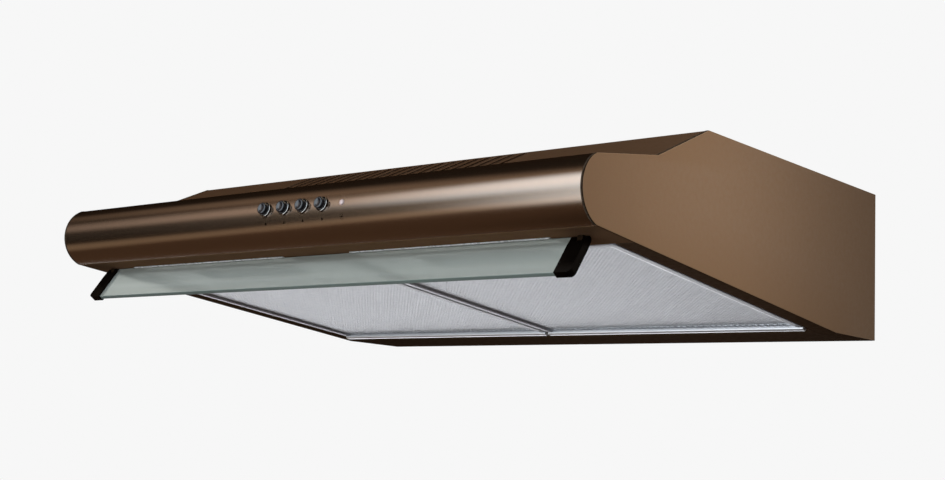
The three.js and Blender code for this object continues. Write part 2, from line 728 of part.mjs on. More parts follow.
function annulus(outer, inner, low, high, segments) {
  const shape = new THREE.Shape().absarc(0, 0, outer, 0, 2 * Math.PI);
  shape.holes.push(new THREE.Path().absarc(0, 0, inner, 0, 2 * Math.PI, true));
  const options = { depth: high - low, bevelEnabled: false, curveSegments: segments / 2 };
  return new THREE.ExtrudeGeometry(shape, options).translate(0, 0, low);
}

function impellerBlade(angle) {
  const { radius, inner, halfLength } = IMPELLER;
  const [start, end] = [inner + 0.4, radius - 0.4];
  const middle = (start + end) / 2;
  const shape = new THREE.Shape();
  shape.moveTo(start, -0.5);
  shape.quadraticCurveTo(middle, 0.2, end, 3.1);
  shape.lineTo(end - 0.5, 4.0);
  shape.quadraticCurveTo(middle, 1.3, start, 0.6);
  const options = { depth: 2 * halfLength - 2, bevelEnabled: false, curveSegments: 2 };
  const blade = new THREE.ExtrudeGeometry(shape, options).translate(0, 0, 1 - halfLength);
  return onBlowerAxis(blade.rotateZ(angle));
}

function impeller() {
  const { radius, inner, halfLength, blades, ring: ringWidth } = IMPELLER;
  const mouth = solid(onBlowerAxis(annulus(radius, inner, halfLength - ringWidth, halfLength, 32)));
  const disc = turned([
    [SHAFT_RADIUS + 0.1, -halfLength], [radius, -halfLength], [radius, 2 - halfLength],
    [9, 2 - halfLength], [9, 22 - halfLength], [SHAFT_RADIUS + 0.1, 22 - halfLength],
    [SHAFT_RADIUS + 0.1, -halfLength],
  ], 32);
  const bladeSolids = Array.from({ length: blades }, (_, i) => (
    solid(impellerBlade((2 * Math.PI * i) / blades))
  ));
  return join(solid(onBlowerAxis(disc)), mouth, ...bladeSolids);
}

function motorBody() {
  const { radius, near, far } = MOTOR;
  return onBlowerAxis(turned([
    [0, far], [9, far], [9, far + 5], [radius - 4, far + 5], [radius, far + 9], [radius, near - 8],
    [radius - 4, near - 4], [10, near - 4], [10, near], [SHAFT_RADIUS + 0.3, near],
    [SHAFT_RADIUS + 0.3, near - 30], [0, near - 30],
  ], 24));
}

function motorShaft() {
  return rodX(SHAFT_RADIUS, MOTOR.near - 29, 18 - IMPELLER.halfLength, BLOWER.y, BLOWER.z, 16);
}

// The round plate that closes the scroll's motor side and carries the motor.
function motorPlate() {
  const near = -BLOWER.halfWidth - GAP;
  const plate = ring([
    [5, near - 2], [MOTOR_OPENING + 6, near - 2], [MOTOR_OPENING + 6, near], [5, near],
  ], 32);
  return onBlowerAxis(plate);
}

function capacitor() {
  const { radius, left, right, y, z } = CAPACITOR;
  const can = turned([
    [0, left], [radius - 1.5, left], [radius, left + 1.5], [radius, right - 1.5],
    [radius - 1.5, right], [6, right], [6, right + 5], [0, right + 5],
  ], 24);
  return can.applyMatrix4(ALONG_X).translate(0, y, z);
}

function capacitorClip() {
  const { radius, left, right, y, z } = CAPACITOR;
  const middle = (left + right) / 2;
  const [low, high] = [middle - 7, middle + 7];
  const band = annulus(radius + 1.5, radius + GAP, low, high, 20).applyMatrix4(ALONG_X).translate(0, y, z);
  const top = HEIGHT - SHEET - GAP;
  const foot = box([low, y - 20, top - 2], [high, y + 20, top]);
  const post = box([low, y - 5, z + radius + GAP + 0.3], [high, y + 5, top - 1]);
  return join(solid(band), foot, post);
}

// ---------------------------------------------------------------- outlet
function outletCollar() {
  const { innerRadius, outerRadius, flangeRadius, top, y } = OUTLET;
  const foot = HEIGHT - WELL.depth + GAP;
  const ledge = DAMPER.z - DAMPER.thickness / 2 - GAP;
  const body = ring([
    [innerRadius, foot], [flangeRadius, foot], [flangeRadius, foot + 2], [outerRadius, foot + 2],
    [outerRadius, top - 1], [outerRadius - 0.6, top], [innerRadius, top], [innerRadius, ledge],
    [innerRadius - 4, ledge], [innerRadius - 4, ledge - 1.4], [innerRadius, ledge - 1.4],
  ], 40);
  const pinHole = rodY(DAMPER.pinRadius + GAP, y - flangeRadius, y + flangeRadius, 0, DAMPER.z, 16);
  const pinRelief = rodY(DAMPER.knuckle + GAP, y - innerRadius, y + innerRadius, 0, DAMPER.z, 16);
  return cut(solid(body.translate(0, y, 0)), pinHole, pinRelief);
}

function damperPin() {
  const reach = OUTLET.outerRadius - 0.2;
  return rodY(DAMPER.pinRadius, OUTLET.y - reach, OUTLET.y + reach, 0, DAMPER.z, 16);
}

// One half-disc flap with two knuckles on the pin; the two flaps' knuckles take turns along it.
function damperFlap(side) {
  const { z, radius, thickness, pinRadius, knuckle, edge } = DAMPER;
  const { y } = OUTLET;
  const [low, high] = [z - thickness / 2, z + thickness / 2];
  const disc = rodZ(radius, low, high, 0, y, 36);
  const [left, right] = span(side, edge, radius + 1);
  const half = disc.intersect(box([left, y - radius, low - 1], [right, y + radius, high + 1]));
  const starts = side < 0 ? [-46, 6] : [-22, 30];
  const knuckles = starts.map((start) => {
    const [front, back] = [y + start, y + start + 16];
    const [near, far] = span(side, knuckle - 0.6, edge + 1);
    const bridge = box([near, front, low], [far, back, high]);
    return join(rodY(knuckle, front, back, 0, z, 14), bridge);
  });
  const bore = rodY(pinRadius + GAP, y - radius, y + radius, 0, z, 16);
  return cut(join(half, ...knuckles), bore);
}

// ---------------------------------------------------------------- wiring
function cableGrommet() {
  const { x, y, hole, bore, flange } = GROMMET;
  const floor = HEIGHT - WELL.depth;
  const [under, over] = [floor - SHEET - GAP, floor + GAP];
  const body = ring([
    [bore, under - 2], [flange - 0.6, under - 2], [flange, under - 1.4], [flange, under],
    [hole - GAP, under], [hole - GAP, over], [flange, over], [flange, over + 1],
    [flange - 1, over + 1.8], [bore, over + 1.8],
  ], 16);
  return body.translate(x, y, 0);
}

function terminalBox() {
  const { left, right, front, rear, low, high, wall } = TERMINAL;
  const block = box([left, front, low], [right, rear, high]);
  const hollow = box(
    [left + wall, front + wall, low - 1],
    [right - wall, rear - wall, high - wall],
  );
  const entry = rodX(4.2, left - 1, left + wall + 1, (front + rear) / 2, (low + high) / 2, 20);
  return cut(block, hollow, entry);
}

function terminalLid() {
  const { left, right, front, rear, low, wall } = TERMINAL;
  const plate = box([left, front, low - GAP - wall], [right, rear, low - GAP]);
  const spigot = box(
    [left + wall + GAP, front + wall + GAP, low - GAP - wall / 2],
    [right - wall - GAP, rear - wall - GAP, low + 2],
  );
  return join(plate, spigot);
}

// ---------------------------------------------------------------- assembly
function placeShell() {
  place(hood, 'nose_fascia', noseFascia(), 'brown');
  place(hood, 'top_cover', topCover(), 'brown');
  place(hood, 'back_panel', backPanel(), 'zinc');
  place(underside, 'rear_underside_strip', rearStrip(), 'brown');
  place(underside, 'front_underside_strip', frontStrip(), 'brown');
  place(underside, 'centre_rail', centreRail(), 'zinc');
}

function placeBlower() {
  place(hood, 'blower_scroll', blowerScroll(), 'zinc');
  place(hood, 'impeller', impeller(), 'blackPlastic');
  place(hood, 'motor_body', motorBody(), 'zinc');
  place(hood, 'motor_shaft', motorShaft(), 'zinc');
  place(hood, 'motor_plate', motorPlate(), 'zinc');
  place(hood, 'capacitor', capacitor(), 'whitePlastic');
  place(hood, 'capacitor_clip', capacitorClip(), 'zinc');
}

function placeOutlet() {
  place(hood, 'outlet_collar', outletCollar(), 'blackPlastic');
  place(hood, 'damper_pin', damperPin(), 'zinc');
}

function placeWiring() {
  place(hood, 'cable_grommet', cableGrommet(), 'rubber');
  place(hood, 'terminal_box', terminalBox(), 'whitePlastic');
  place(hood, 'terminal_box_lid', terminalLid(), 'whitePlastic');
}

function placePairs() {
  for (const [word, side] of SIDES) {
    place(hood, `side_panel_${word}`, sidePanel(side), 'brown');
    place(underside, `filter_frame_${word}`, filterFrame(side), 'aluminium');
    place(underside, `filter_face_${word}`, filterFace(side), 'aluminium');
    place(underside, `filter_pad_${word}`, filterPad(side), 'pad');
    place(underside, `latch_cup_${word}`, latchCup(side), 'aluminium');
    place(underside, `filter_latch_${word}`, filterLatch(side), 'greyPlastic');
    place(underside, `lamp_lens_${word}`, lampLens(side), 'lamp');
    place(underside, `lamp_board_${word}`, lampBoard(side), 'board');
    place(underside, `visor_lug_${word}`, visorLug(side), 'brown');
    place(visor, `visor_holder_${word}`, visorHolder(side), 'blackPlastic');
    place(visor, `visor_pin_${word}`, visorPin(side), 'zinc');
    place(hood, `damper_flap_${word}`, damperFlap(side), 'blackPlastic');
  }
}

placeShell();
placePairs();
place(visor, 'visor_glass', visorGlass(), 'glass');
placeControls();
placeBlower();
placeOutlet();
placeWiring();

export default hood;
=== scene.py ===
"""Looks for the under-cabinet range hood: the camera, the studio, the materials and every visible piece.

Pieces are drawn in the same drawing coordinates as the CAD source, in millimetres: X across the hood, Y back
from the front of the nose, Z up from the rear bottom edge. SHIFT takes them to the part's frame, in metres.
"""

import math

import bmesh
import bpy
from mathutils import Matrix, Vector


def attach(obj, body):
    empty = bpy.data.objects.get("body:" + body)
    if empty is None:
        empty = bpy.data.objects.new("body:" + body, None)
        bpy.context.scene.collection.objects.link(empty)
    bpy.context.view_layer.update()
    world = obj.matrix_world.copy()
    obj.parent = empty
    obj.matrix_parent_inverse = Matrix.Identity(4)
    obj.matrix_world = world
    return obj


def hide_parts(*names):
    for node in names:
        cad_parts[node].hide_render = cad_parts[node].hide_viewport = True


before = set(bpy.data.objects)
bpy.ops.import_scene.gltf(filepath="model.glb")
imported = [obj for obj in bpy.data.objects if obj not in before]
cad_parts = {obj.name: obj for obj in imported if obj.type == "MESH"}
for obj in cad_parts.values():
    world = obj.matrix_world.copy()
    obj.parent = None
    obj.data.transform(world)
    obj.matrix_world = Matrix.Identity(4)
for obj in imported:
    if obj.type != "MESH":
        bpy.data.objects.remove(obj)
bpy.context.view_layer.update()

MM = 0.001

# ------------ driving dimensions, in millimetres
WIDTH, DEPTH, HEIGHT = 600.0, 475.0, 138.0
WALL_FACE_HEIGHT = HEIGHT / 2
SHEET = 1.2
SIDE_PANEL_INNER_X = WIDTH / 2 - SHEET
NOSE_HALF_WIDTH = SIDE_PANEL_INNER_X - 1.0  # the skins stop short of the side panels, at a gap filled with painted shade
SHELL_HALF_WIDTH = SIDE_PANEL_INNER_X - 2.2

NOSE_RADIUS = 27.5
NOSE_Y, NOSE_Z = 27.5, 66.8
NOSE_TOP_ANGLE, NOSE_BOTTOM_ANGLE = 114.5, 250.5
NOTCH = (95.0, 104.8)
PEAK = (167.0, HEIGHT)
KNEE_Y = 394.0
LIP_DEPTH = 12.0
VENT_COUNT, VENT_PITCH, VENT_WIDTH, VENT_OFFSET, VENT_START, VENT_END = 21, 13.0, 5.0, -6.0, 9.0, 75.0

FLANGE_WIDTH = 17.8
FILTER_START, FILTER_END = 50.3, 358.0
FILTER_INNER_X, FILTER_OUTER_X = 1.3, 281.5
FILTER_CENTRE = (FILTER_INNER_X + FILTER_OUTER_X) / 2
RIM_LOW, RIM_TOP, RIM_WIDTH, RIM_CORNER, FRAME_TOP = -2.4, 1.8, 7.0, 5.0, 8.2
TAB_INSET, TAB_HALF_WIDTH, TAB_END, TAB_LOW, TAB_HIGH = 72.0, 8.0, 363.9, 3.6, 4.8
FACE_LOW = 2.1
DRAIN_PITCH, DRAIN_WIDTH, DRAIN_SPAN = 6.2, 3.8, (FILTER_END - 12.4, FILTER_END - 7.5)
DIAMOND_X, DIAMOND_Y, STRAND_WIDTH, STRAND_THICKNESS = 3.8, 4.1, 1.3, 0.45
HEM_OUTER, HEM_INNER, HEM_THICKNESS = 1.6, 13.0, 0.6
CUP_LENGTH, CUP_START, CUP_END, CUP_LOW, CUP_HIGH = 120.0, 57.7, 93.7, 1.0, 6.8

VISOR_LEAN = 35.5
VISOR_PIVOT = (22.5, -3.4)
GLASS_HALF_WIDTH, GLASS_TOP, GLASS_BOTTOM, GLASS_THICKNESS = 267.5, 2.0, -32.8, 4.0
HOLDER_INNER, HOLDER_OUTER, HOLDER_BOTTOM, HOLDER_THICKNESS, KNUCKLE = 264.0, 278.5, -34.0, 6.8, 2.8
HOLDER_CORNER = 4.5
LUG_INNER, LUG_OUTER = 269.5, 274.5

BUTTON_FIRST, BUTTON_PITCH, BUTTON_COUNT, BUTTON_RADIUS, BUTTON_PROUD = -20.0, 22.0, 4, 5.0, 5.6
BUTTON_ELEVATION = 9.5
BEZEL_INNER, BEZEL_OUTER, BEZEL_PROUD = 5.35, 6.1, 1.6
MARK_DROP, MARK_SPAN, RAY_SPAN = -11.0, (-1.35, 0.25), (-1.5, 0.1)
PILOT_X, PILOT_RADIUS, PILOT_PROUD, PILOT_FOOT = 68.0, 2.4, 1.4, 15.8

OUTLET_Y, OUTLET_HOLE, OUTLET_TOP = 352.0, 56.0, 166.0
OUTLET_INNER, OUTLET_OUTER, OUTLET_FLANGE = 57.5, 59.2, 66.0
OUTLET_LEDGE, OUTLET_RIB = 149.1, 156.0
GROMMET_X, GROMMET_Y, GROMMET_HOLE = 180.0, 446.0, 8.0
WELL_DEPTH, WELL_BORDER, DUCT_WELL_RADIUS, CABLE_WELL_RADIUS = 3.0, 3.0, 70.0, 13.0
SCREW_HOLE_X, SCREW_HOLE_ROWS, SCREW_HOLE_RADIUS = 235.0, (205.0, 395.0), 3.2

SIDES = (("left", -1), ("right", 1))


def radians(degrees):
    return math.radians(degrees)


# ------------ places
SHIFT = Matrix.Translation((0, -DEPTH * MM, -WALL_FACE_HEIGHT * MM)) @ Matrix.Scale(MM, 4)


def nose_point(degrees, radius=NOSE_RADIUS):
    return (NOSE_Y + radius * math.cos(radians(degrees)), NOSE_Z + radius * math.sin(radians(degrees)))


UNDER_Y, UNDER_Z = nose_point(NOSE_BOTTOM_ANGLE)
UNDER_ANGLE = math.atan2(UNDER_Z, KNEE_Y - UNDER_Y)
UNDERSIDE = SHIFT @ Matrix.Translation((0, UNDER_Y, UNDER_Z)) @ Matrix.Rotation(-UNDER_ANGLE, 4, "X")


def underside_point(v, up=0.0):
    c, s = math.cos(UNDER_ANGLE), math.sin(UNDER_ANGLE)
    return (UNDER_Y + v * c + up * s, UNDER_Z - v * s + up * c)


PIVOT_Y, PIVOT_Z = underside_point(*VISOR_PIVOT)
VISOR = SHIFT @ Matrix.Translation((0, PIVOT_Y, PIVOT_Z)) @ Matrix.Rotation(-radians(VISOR_LEAN), 4, "X")
# The controls' own Z points out through the nose.
CONTROLS = (
    SHIFT
    @ Matrix.Translation((0, NOSE_Y, NOSE_Z))
    @ Matrix.Rotation(radians(90 - BUTTON_ELEVATION), 4, "X")
)


# ------------ node materials
class Shader:
    """A small helper that wires one principled material."""

    def __init__(self, name):
        self.material = bpy.data.materials.new(name)
        self.material.use_nodes = True
        self.nodes = self.material.node_tree.nodes
        self.links = self.material.node_tree.links
        self.bsdf = self.nodes["Principled BSDF"]
        self.place = self.nodes.new("ShaderNodeTexCoord").outputs["Object"]

    def set(self, **values):
        for key, value in values.items():
            socket = self.bsdf.inputs[key.replace("_", " ")]
            socket.default_value = value
        return self

    def link(self, output, socket):
        self.links.new(output, self.bsdf.inputs[socket] if isinstance(socket, str) else socket)

    def stretched(self, scale):
        mapping = self.nodes.new("ShaderNodeMapping")
        mapping.inputs["Scale"].default_value = scale
        self.links.new(self.place, mapping.inputs["Vector"])
        return mapping.outputs["Vector"]

    def noise(self, scale, detail=3.0, rough=0.5, stretch=None):
        node = self.nodes.new("ShaderNodeTexNoise")
        node.inputs["Scale"].default_value = scale
        node.inputs["Detail"].default_value = detail
        node.inputs["Roughness"].default_value = rough
        self.links.new(self.stretched(stretch) if stretch else self.place, node.inputs["Vector"])
        return node.outputs["Fac"]

    def spots(self, scale, feature="F1", stretch=None):
        node = self.nodes.new("ShaderNodeTexVoronoi")
        node.feature = feature
        node.inputs["Scale"].default_value = scale
        self.links.new(self.stretched(stretch) if stretch else self.place, node.inputs["Vector"])
        return node.outputs["Distance" if feature != "F1" else "Color"]

    def math(self, operation, first, second=0.0, clamp=False):
        node = self.nodes.new("ShaderNodeMath")
        node.operation = operation
        node.use_clamp = clamp
        for socket, value in zip(node.inputs, (first, second)):
            if isinstance(value, (int, float)):
                socket.default_value = value
            else:
                self.links.new(value, socket)
        return node.outputs[0]

    def ranged(self, value, low, high, start=0.0, end=1.0):
        node = self.nodes.new("ShaderNodeMapRange")
        for key, number in (("From Min", start), ("From Max", end), ("To Min", low), ("To Max", high)):
            node.inputs[key].default_value = number
        self.links.new(value, node.inputs["Value"])
        return node.outputs["Result"]

    def mix(self, factor, first, second, blend="MIX"):
        node = self.nodes.new("ShaderNodeMix")
        node.data_type = "RGBA"
        node.blend_type = blend
        sockets = (node.inputs["Factor"], node.inputs[6], node.inputs[7])
        for socket, value in zip(sockets, (factor, first, second)):
            if isinstance(value, (int, float)):
                socket.default_value = value
            elif isinstance(value, (tuple, list)):
                socket.default_value = (*value, 1.0)
            else:
                self.links.new(value, socket)
        return node.outputs[2]

    def bump(self, height, strength, distance):
        node = self.nodes.new("ShaderNodeBump")
        node.inputs["Strength"].default_value = strength
        node.inputs["Distance"].default_value = distance
        self.links.new(height, node.inputs["Height"])
        previous = self.bsdf.inputs["Normal"]
        if previous.is_linked:
            self.links.new(previous.links[0].from_socket, node.inputs["Normal"])
        self.links.new(node.outputs["Normal"], self.bsdf.inputs["Normal"])

    def edges(self, low=0.52, high=0.6):
        geometry = self.nodes.new("ShaderNodeNewGeometry")
        return self.ranged(geometry.outputs["Pointiness"], 0.0, 1.0, low, high)


def varied(shader, colour, amount, scale, stretch=None):
    """The colour, lightened and darkened by soft noise."""
    dark = tuple(c * (1 - amount) for c in colour)
    light = tuple(min(1.0, c * (1 + amount)) for c in colour)
    return shader.mix(shader.noise(scale, 4.0, 0.6, stretch), dark, light)


def with_wear_and_sheen(shader, base, wear_and_sheen_colour, amount):
    """The base colour with lighter, scuffed edges; on the gloss black holders the lighter edges are a painted
    highlight.
    """
    wear_and_sheen_mask = shader.math("MULTIPLY", shader.edges(), shader.noise(220.0, 2.0, 0.5))
    return shader.mix(shader.math("MULTIPLY", wear_and_sheen_mask, amount, clamp=True), base, wear_and_sheen_colour)


def lacquer(name, colour, roughness, metallic, coat, coat_ior=1.5, grain=None, specular=0.5, wear_and_sheen=0.4):
    """Bronze lacquer on sheet steel, with fine flakes; a grain stretches its streaks along the hood."""
    s = Shader(name)
    base = varied(s, colour, 0.08, 60.0 if grain else 5.0, grain)
    base = s.mix(0.06, base, s.spots(2600.0), "OVERLAY")
    s.link(with_wear_and_sheen(s, base, (0.36, 0.27, 0.2), wear_and_sheen), "Base Color")
    streaks = s.noise(40.0 if grain else 90.0, 4.0, 0.5, grain)
    s.link(s.ranged(streaks, roughness - 0.03, roughness + 0.05), "Roughness")
    s.set(Metallic=metallic, Coat_Weight=coat, Coat_Roughness=0.09, Coat_IOR=coat_ior)
    s.set(Specular_IOR_Level=specular)
    s.bump(s.noise(1400.0, 2.0), 0.04, 0.00006)
    return s.material


def galvanised(name):
    """Zinc-plated steel with its crystal spangle."""
    s = Shader(name)
    spangle = s.ranged(s.spots(70.0), 0.0, 1.0)
    base = s.mix(spangle, (0.46, 0.47, 0.48), (0.66, 0.67, 0.67))
    s.link(with_wear_and_sheen(s, base, (0.8, 0.8, 0.8), 0.6), "Base Color")
    s.link(s.ranged(s.spots(70.0), 0.3, 0.46), "Roughness")
    s.set(Metallic=0.9)
    s.bump(s.noise(500.0, 3.0), 0.08, 0.0002)
    return s.material


def aluminium(name, colour, roughness, brushed=None, metallic=0.85):
    """Mill-finish aluminium with rolling marks and light scuffs."""
    s = Shader(name)
    base = varied(s, colour, 0.06, 20.0, brushed)
    s.link(with_wear_and_sheen(s, base, (0.92, 0.92, 0.93), 0.7), "Base Color")
    s.link(s.ranged(s.noise(120.0, 4.0, 0.6, brushed), roughness - 0.07, roughness + 0.08), "Roughness")
    s.set(Metallic=metallic)
    s.bump(s.noise(900.0, 2.0, 0.5, brushed), 0.08, 0.0002)
    return s.material


def mesh_pad(name):
    """Layers of expanded aluminium mesh seen through the face: crossed strands over dark gaps, which are
    painted shade inside the mesh.
    """
    s = Shader(name)
    cells = s.spots(420.0, "DISTANCE_TO_EDGE", (1.0, 1.6, 1.0))
    strand = s.ranged(cells, 1.0, 0.0, 0.02, 0.12)
    base = s.mix(strand, (0.2, 0.2, 0.21), (0.62, 0.62, 0.64))
    s.link(base, "Base Color")
    s.link(s.ranged(s.noise(300.0), 0.35, 0.6), "Roughness")
    s.set(Metallic=0.7)
    s.bump(strand, 0.8, 0.0008)
    return s.material


def plastic(
    name, colour, roughness, grain=1600.0, strength=0.1, wear_and_sheen=(0.3, 0.3, 0.3), coat=0.0, specular=0.5
):
    """Moulded plastic with a fine texture, faint mottling and lighter edges: scuffs, and on the gloss black
    holders a painted highlight.
    """
    s = Shader(name)
    s.link(with_wear_and_sheen(s, varied(s, colour, 0.08, 30.0), wear_and_sheen, 0.35), "Base Color")
    s.link(s.ranged(s.noise(160.0, 4.0, 0.6), roughness - 0.04, roughness + 0.06), "Roughness")
    s.set(Coat_Weight=coat, Coat_Roughness=0.08, Specular_IOR_Level=specular)
    s.bump(s.noise(grain, 2.0), strength, 0.0002)
    return s.material


def rubber(name):
    s = Shader(name)
    s.link(with_wear_and_sheen(s, varied(s, (0.025, 0.025, 0.027), 0.2, 60.0), (0.12, 0.12, 0.12), 0.5), "Base Color")
    s.link(s.ranged(s.noise(200.0), 0.7, 0.9), "Roughness")
    s.bump(s.noise(900.0, 3.0), 0.25, 0.0002)
    return s.material


def visor_glass(name):
    """Pale grey-green safety glass with a faint haze; its cut edges look darker and greener."""
    s = Shader(name)
    haze = s.noise(9.0, 4.0, 0.6, (0.4, 3.0, 3.0))
    s.link(s.mix(haze, (0.56, 0.595, 0.54), (0.63, 0.66, 0.605)), "Base Color")
    s.link(s.ranged(s.noise(40.0, 3.0), 0.06, 0.12), "Roughness")
    s.set(Transmission_Weight=0.6, IOR=1.5)
    return s.material


def glass_edge(name):
    s = Shader(name)
    base = s.mix(s.noise(8.0, 3.0, 0.5, (0.5, 1.0, 1.0)), (0.15, 0.19, 0.17), (0.19, 0.23, 0.21))
    s.link(base, "Base Color")
    s.link(s.ranged(s.noise(60.0), 0.3, 0.4), "Roughness")
    s.set(Specular_IOR_Level=0.3)
    return s.material


def lens_material(name, colour, ribs):
    """Opal lens plastic with moulded ribs."""
    s = Shader(name)
    s.link(varied(s, colour, 0.04, 40.0), "Base Color")
    s.link(s.ranged(s.noise(200.0), 0.22, 0.34), "Roughness")
    s.set(Transmission_Weight=0.25, IOR=1.49)
    if ribs:
        wave = s.nodes.new("ShaderNodeTexWave")
        wave.inputs["Scale"].default_value = 80.0
        s.links.new(s.place, wave.inputs["Vector"])
        s.bump(wave.outputs["Fac"], 0.5, 0.0006)
    return s.material


def chrome(name):
    s = Shader(name)
    s.link(varied(s, (0.42, 0.40, 0.38), 0.05, 80.0), "Base Color")
    s.link(s.ranged(s.noise(300.0), 0.08, 0.2), "Roughness")
    s.set(Metallic=1.0)
    return s.material


MATERIALS = {
    "nose": lacquer("nose_lacquer", (0.22, 0.14, 0.085), 0.22, 0.95, 1.0, 2.1, (0.3, 40.0, 40.0)),
    # painted light and shade: the top and side entries are copies of one body paint, the side copy lighter
    # than the top copy
    "brown": lacquer("brown_lacquer_shaded_copy", (0.12, 0.056, 0.025), 0.42, 0.3, 0.0, specular=0.25),
    "side": lacquer("side_lacquer_lit_copy", (0.272, 0.157, 0.082), 0.36, 0.15, 0.08),
    # painted shade: a darker, matte copy of the body paint, used on the nose's lowest rows, the side flanges
    # and the rear bottom sheet
    "under": lacquer("underside_painted_shade", (0.055, 0.026, 0.012), 0.6, 0.0, 0.0, specular=0.0),
    # painted shade: a matte copy of the body paint, coloured to the shade of the front bottom sheet
    "strip": lacquer("strip_painted_shade", (0.17, 0.095, 0.052), 0.55, 0.0, 0.0, specular=0.0, wear_and_sheen=0.08),
    # painted shade: near-black for the seams at the side panels, the vent slot walls, the panels' edge faces
    # and behind the drain holes
    "black_shade": lacquer("painted_shade_black", (0.012, 0.006, 0.003), 0.6, 0.0, 0.0, specular=0.0),
    "zinc": galvanised("zinc_plate"),
    "bead": aluminium("bead_aluminium", (0.74, 0.74, 0.76), 0.32, metallic=0.6),
    "rim": aluminium("rim_aluminium", (0.56, 0.56, 0.6), 0.45, metallic=0.45),
    "face": aluminium("face_aluminium", (0.72, 0.735, 0.77), 0.38),
    "pad": mesh_pad("expanded_mesh"),
    "glass": visor_glass("visor_glass_pale"),
    "glass_edge": glass_edge("visor_glass_edge"),
    # painted highlight: the holders' lighter edge colour draws light lines along their edges
    "holder": plastic(
        "gloss_black", (0.0015, 0.001, 0.0008), 0.14, 900.0, 0.02, (0.12, 0.09, 0.06), specular=0.05
    ),
    "button": plastic("button_grey", (0.016, 0.017, 0.02), 0.2, 1200.0, 0.05, (0.16, 0.17, 0.19), 0.3),
    "latch": plastic("latch_grey", (0.05, 0.05, 0.055), 0.35),
    "chrome": chrome("bezel_chrome"),
    "pilot": lens_material("pilot_lens_pink", (0.95, 0.72, 0.68), False),
    "lamp": lens_material("lamp_diffuser_opal", (0.6, 0.62, 0.59), True),
    "board": plastic("lamp_board_white", (0.8, 0.82, 0.79), 0.5),
    "white": plastic("white_moulding", (0.72, 0.72, 0.69), 0.45),
    "black": plastic("black_moulding", (0.02, 0.02, 0.021), 0.42),
    "rubber": rubber("black_rubber"),
    # near-black and matte: the printed marks, and painted shade on the hinge lugs
    "print_and_lug_shade": plastic("printed_ink_and_lug_shade", (0.016, 0.009, 0.005), 0.6, wear_and_sheen=(0.03, 0.02, 0.012), specular=0.0),
    "floor": plastic("studio_floor", (0.86, 0.86, 0.855), 0.8, 300.0, 0.05, (0.86, 0.86, 0.86)),
}


# ------------ mesh helpers
def finish_mesh(obj, cutters=(), bevel=0.0, segments=2, angle=30.0):
    """Cuts the holes, rounds the edges and applies both, then shades smooth up to the given angle."""
    for cutter in cutters:
        modifier = obj.modifiers.new("cut", "BOOLEAN")
        modifier.operation = "DIFFERENCE"
        modifier.solver = "EXACT"
        modifier.object = cutter
    if bevel:
        modifier = obj.modifiers.new("round", "BEVEL")
        modifier.width = bevel * MM
        modifier.segments = segments
        modifier.limit_method = "ANGLE"
        modifier.angle_limit = radians(angle)
        modifier.harden_normals = False
    if obj.modifiers:
        graph = bpy.context.evaluated_depsgraph_get()
        baked = bpy.data.meshes.new_from_object(obj.evaluated_get(graph))
        obj.modifiers.clear()
        obj.data = baked
        baked.name = obj.name
    for cutter in cutters:
        bpy.data.objects.remove(cutter, do_unlink=True)
    obj.data.shade_smooth()
    obj.data.set_sharp_from_angle(angle=radians(angle))
    return obj


def new_object(name, vertices, faces, matrix=SHIFT, material=None):
    mesh = bpy.data.meshes.new(name)
    mesh.from_pydata([matrix @ Vector(v) for v in vertices], [], faces)
    obj = bpy.data.objects.new(name, mesh)
    bpy.context.collection.objects.link(obj)
    work = bmesh.new()
    work.from_mesh(mesh)
    bmesh.ops.recalc_face_normals(work, faces=work.faces)
    work.to_mesh(mesh)
    work.free()
    if material:
        mesh.materials.append(MATERIALS[material])
    return obj


def prism(name, outline, low, high, axis="X", matrix=SHIFT, material=None):
    """A prism of a 2-D outline along X (outline in Y, Z), Y (in X, Z) or Z (in X, Y)."""
    place = {
        "X": lambda p, t: (t, p[0], p[1]),
        "Y": lambda p, t: (p[0], t, p[1]),
        "Z": lambda p, t: (p[0], p[1], t),
    }[axis]
    count = len(outline)
    vertices = [place(p, t) for t in (low, high) for p in outline]
    faces = [tuple(range(count)), tuple(range(count, 2 * count))]
    faces += [(i, (i + 1) % count, count + (i + 1) % count, count + i) for i in range(count)]
    return new_object(name, vertices, faces, matrix, material)


def revolve(name, profile, segments=64, matrix=SHIFT, centre=(0, 0), material=None, closed=False):
    """A body turned about Z from (radius, height) pairs; closed joins the last pair to the first."""
    vertices, rings = [], []
    for radius, height in profile:
        if radius < 1e-6:
            rings.append([len(vertices)])
            vertices.append((centre[0], centre[1], height))
            continue
        rings.append(list(range(len(vertices), len(vertices) + segments)))
        for i in range(segments):
            turn = 2 * math.pi * i / segments
            across, back = radius * math.cos(turn), radius * math.sin(turn)
            vertices.append((centre[0] + across, centre[1] + back, height))
    faces = []
    pairs = list(zip(rings, rings[1:])) + ([(rings[-1], rings[0])] if closed else [])
    for low, high in pairs:
        for i in range(segments):
            j = (i + 1) % segments
            corners = [low[i % len(low)], low[j % len(low)], high[j % len(high)], high[i % len(high)]]
            face = tuple(dict.fromkeys(corners))
            if len(face) > 2:
                faces.append(face)
    return new_object(name, vertices, faces, matrix, material)


def arc(centre, radius, start, end, steps):
    return [
        (
            centre[0] + radius * math.cos(radians(start + (end - start) * i / steps)),
            centre[1] + radius * math.sin(radians(start + (end - start) * i / steps)),
        )
        for i in range(steps + 1)
    ]


def rounded_rectangle(left, front, right, back, radius, steps=6):
    corners = (
        (right - radius, back - radius, 0),
        (left + radius, back - radius, 90),
        (left + radius, front + radius, 180),
        (right - radius, front + radius, 270),
    )
    return [p for x, y, start in corners for p in arc((x, y), radius, start, start + 90, steps)]


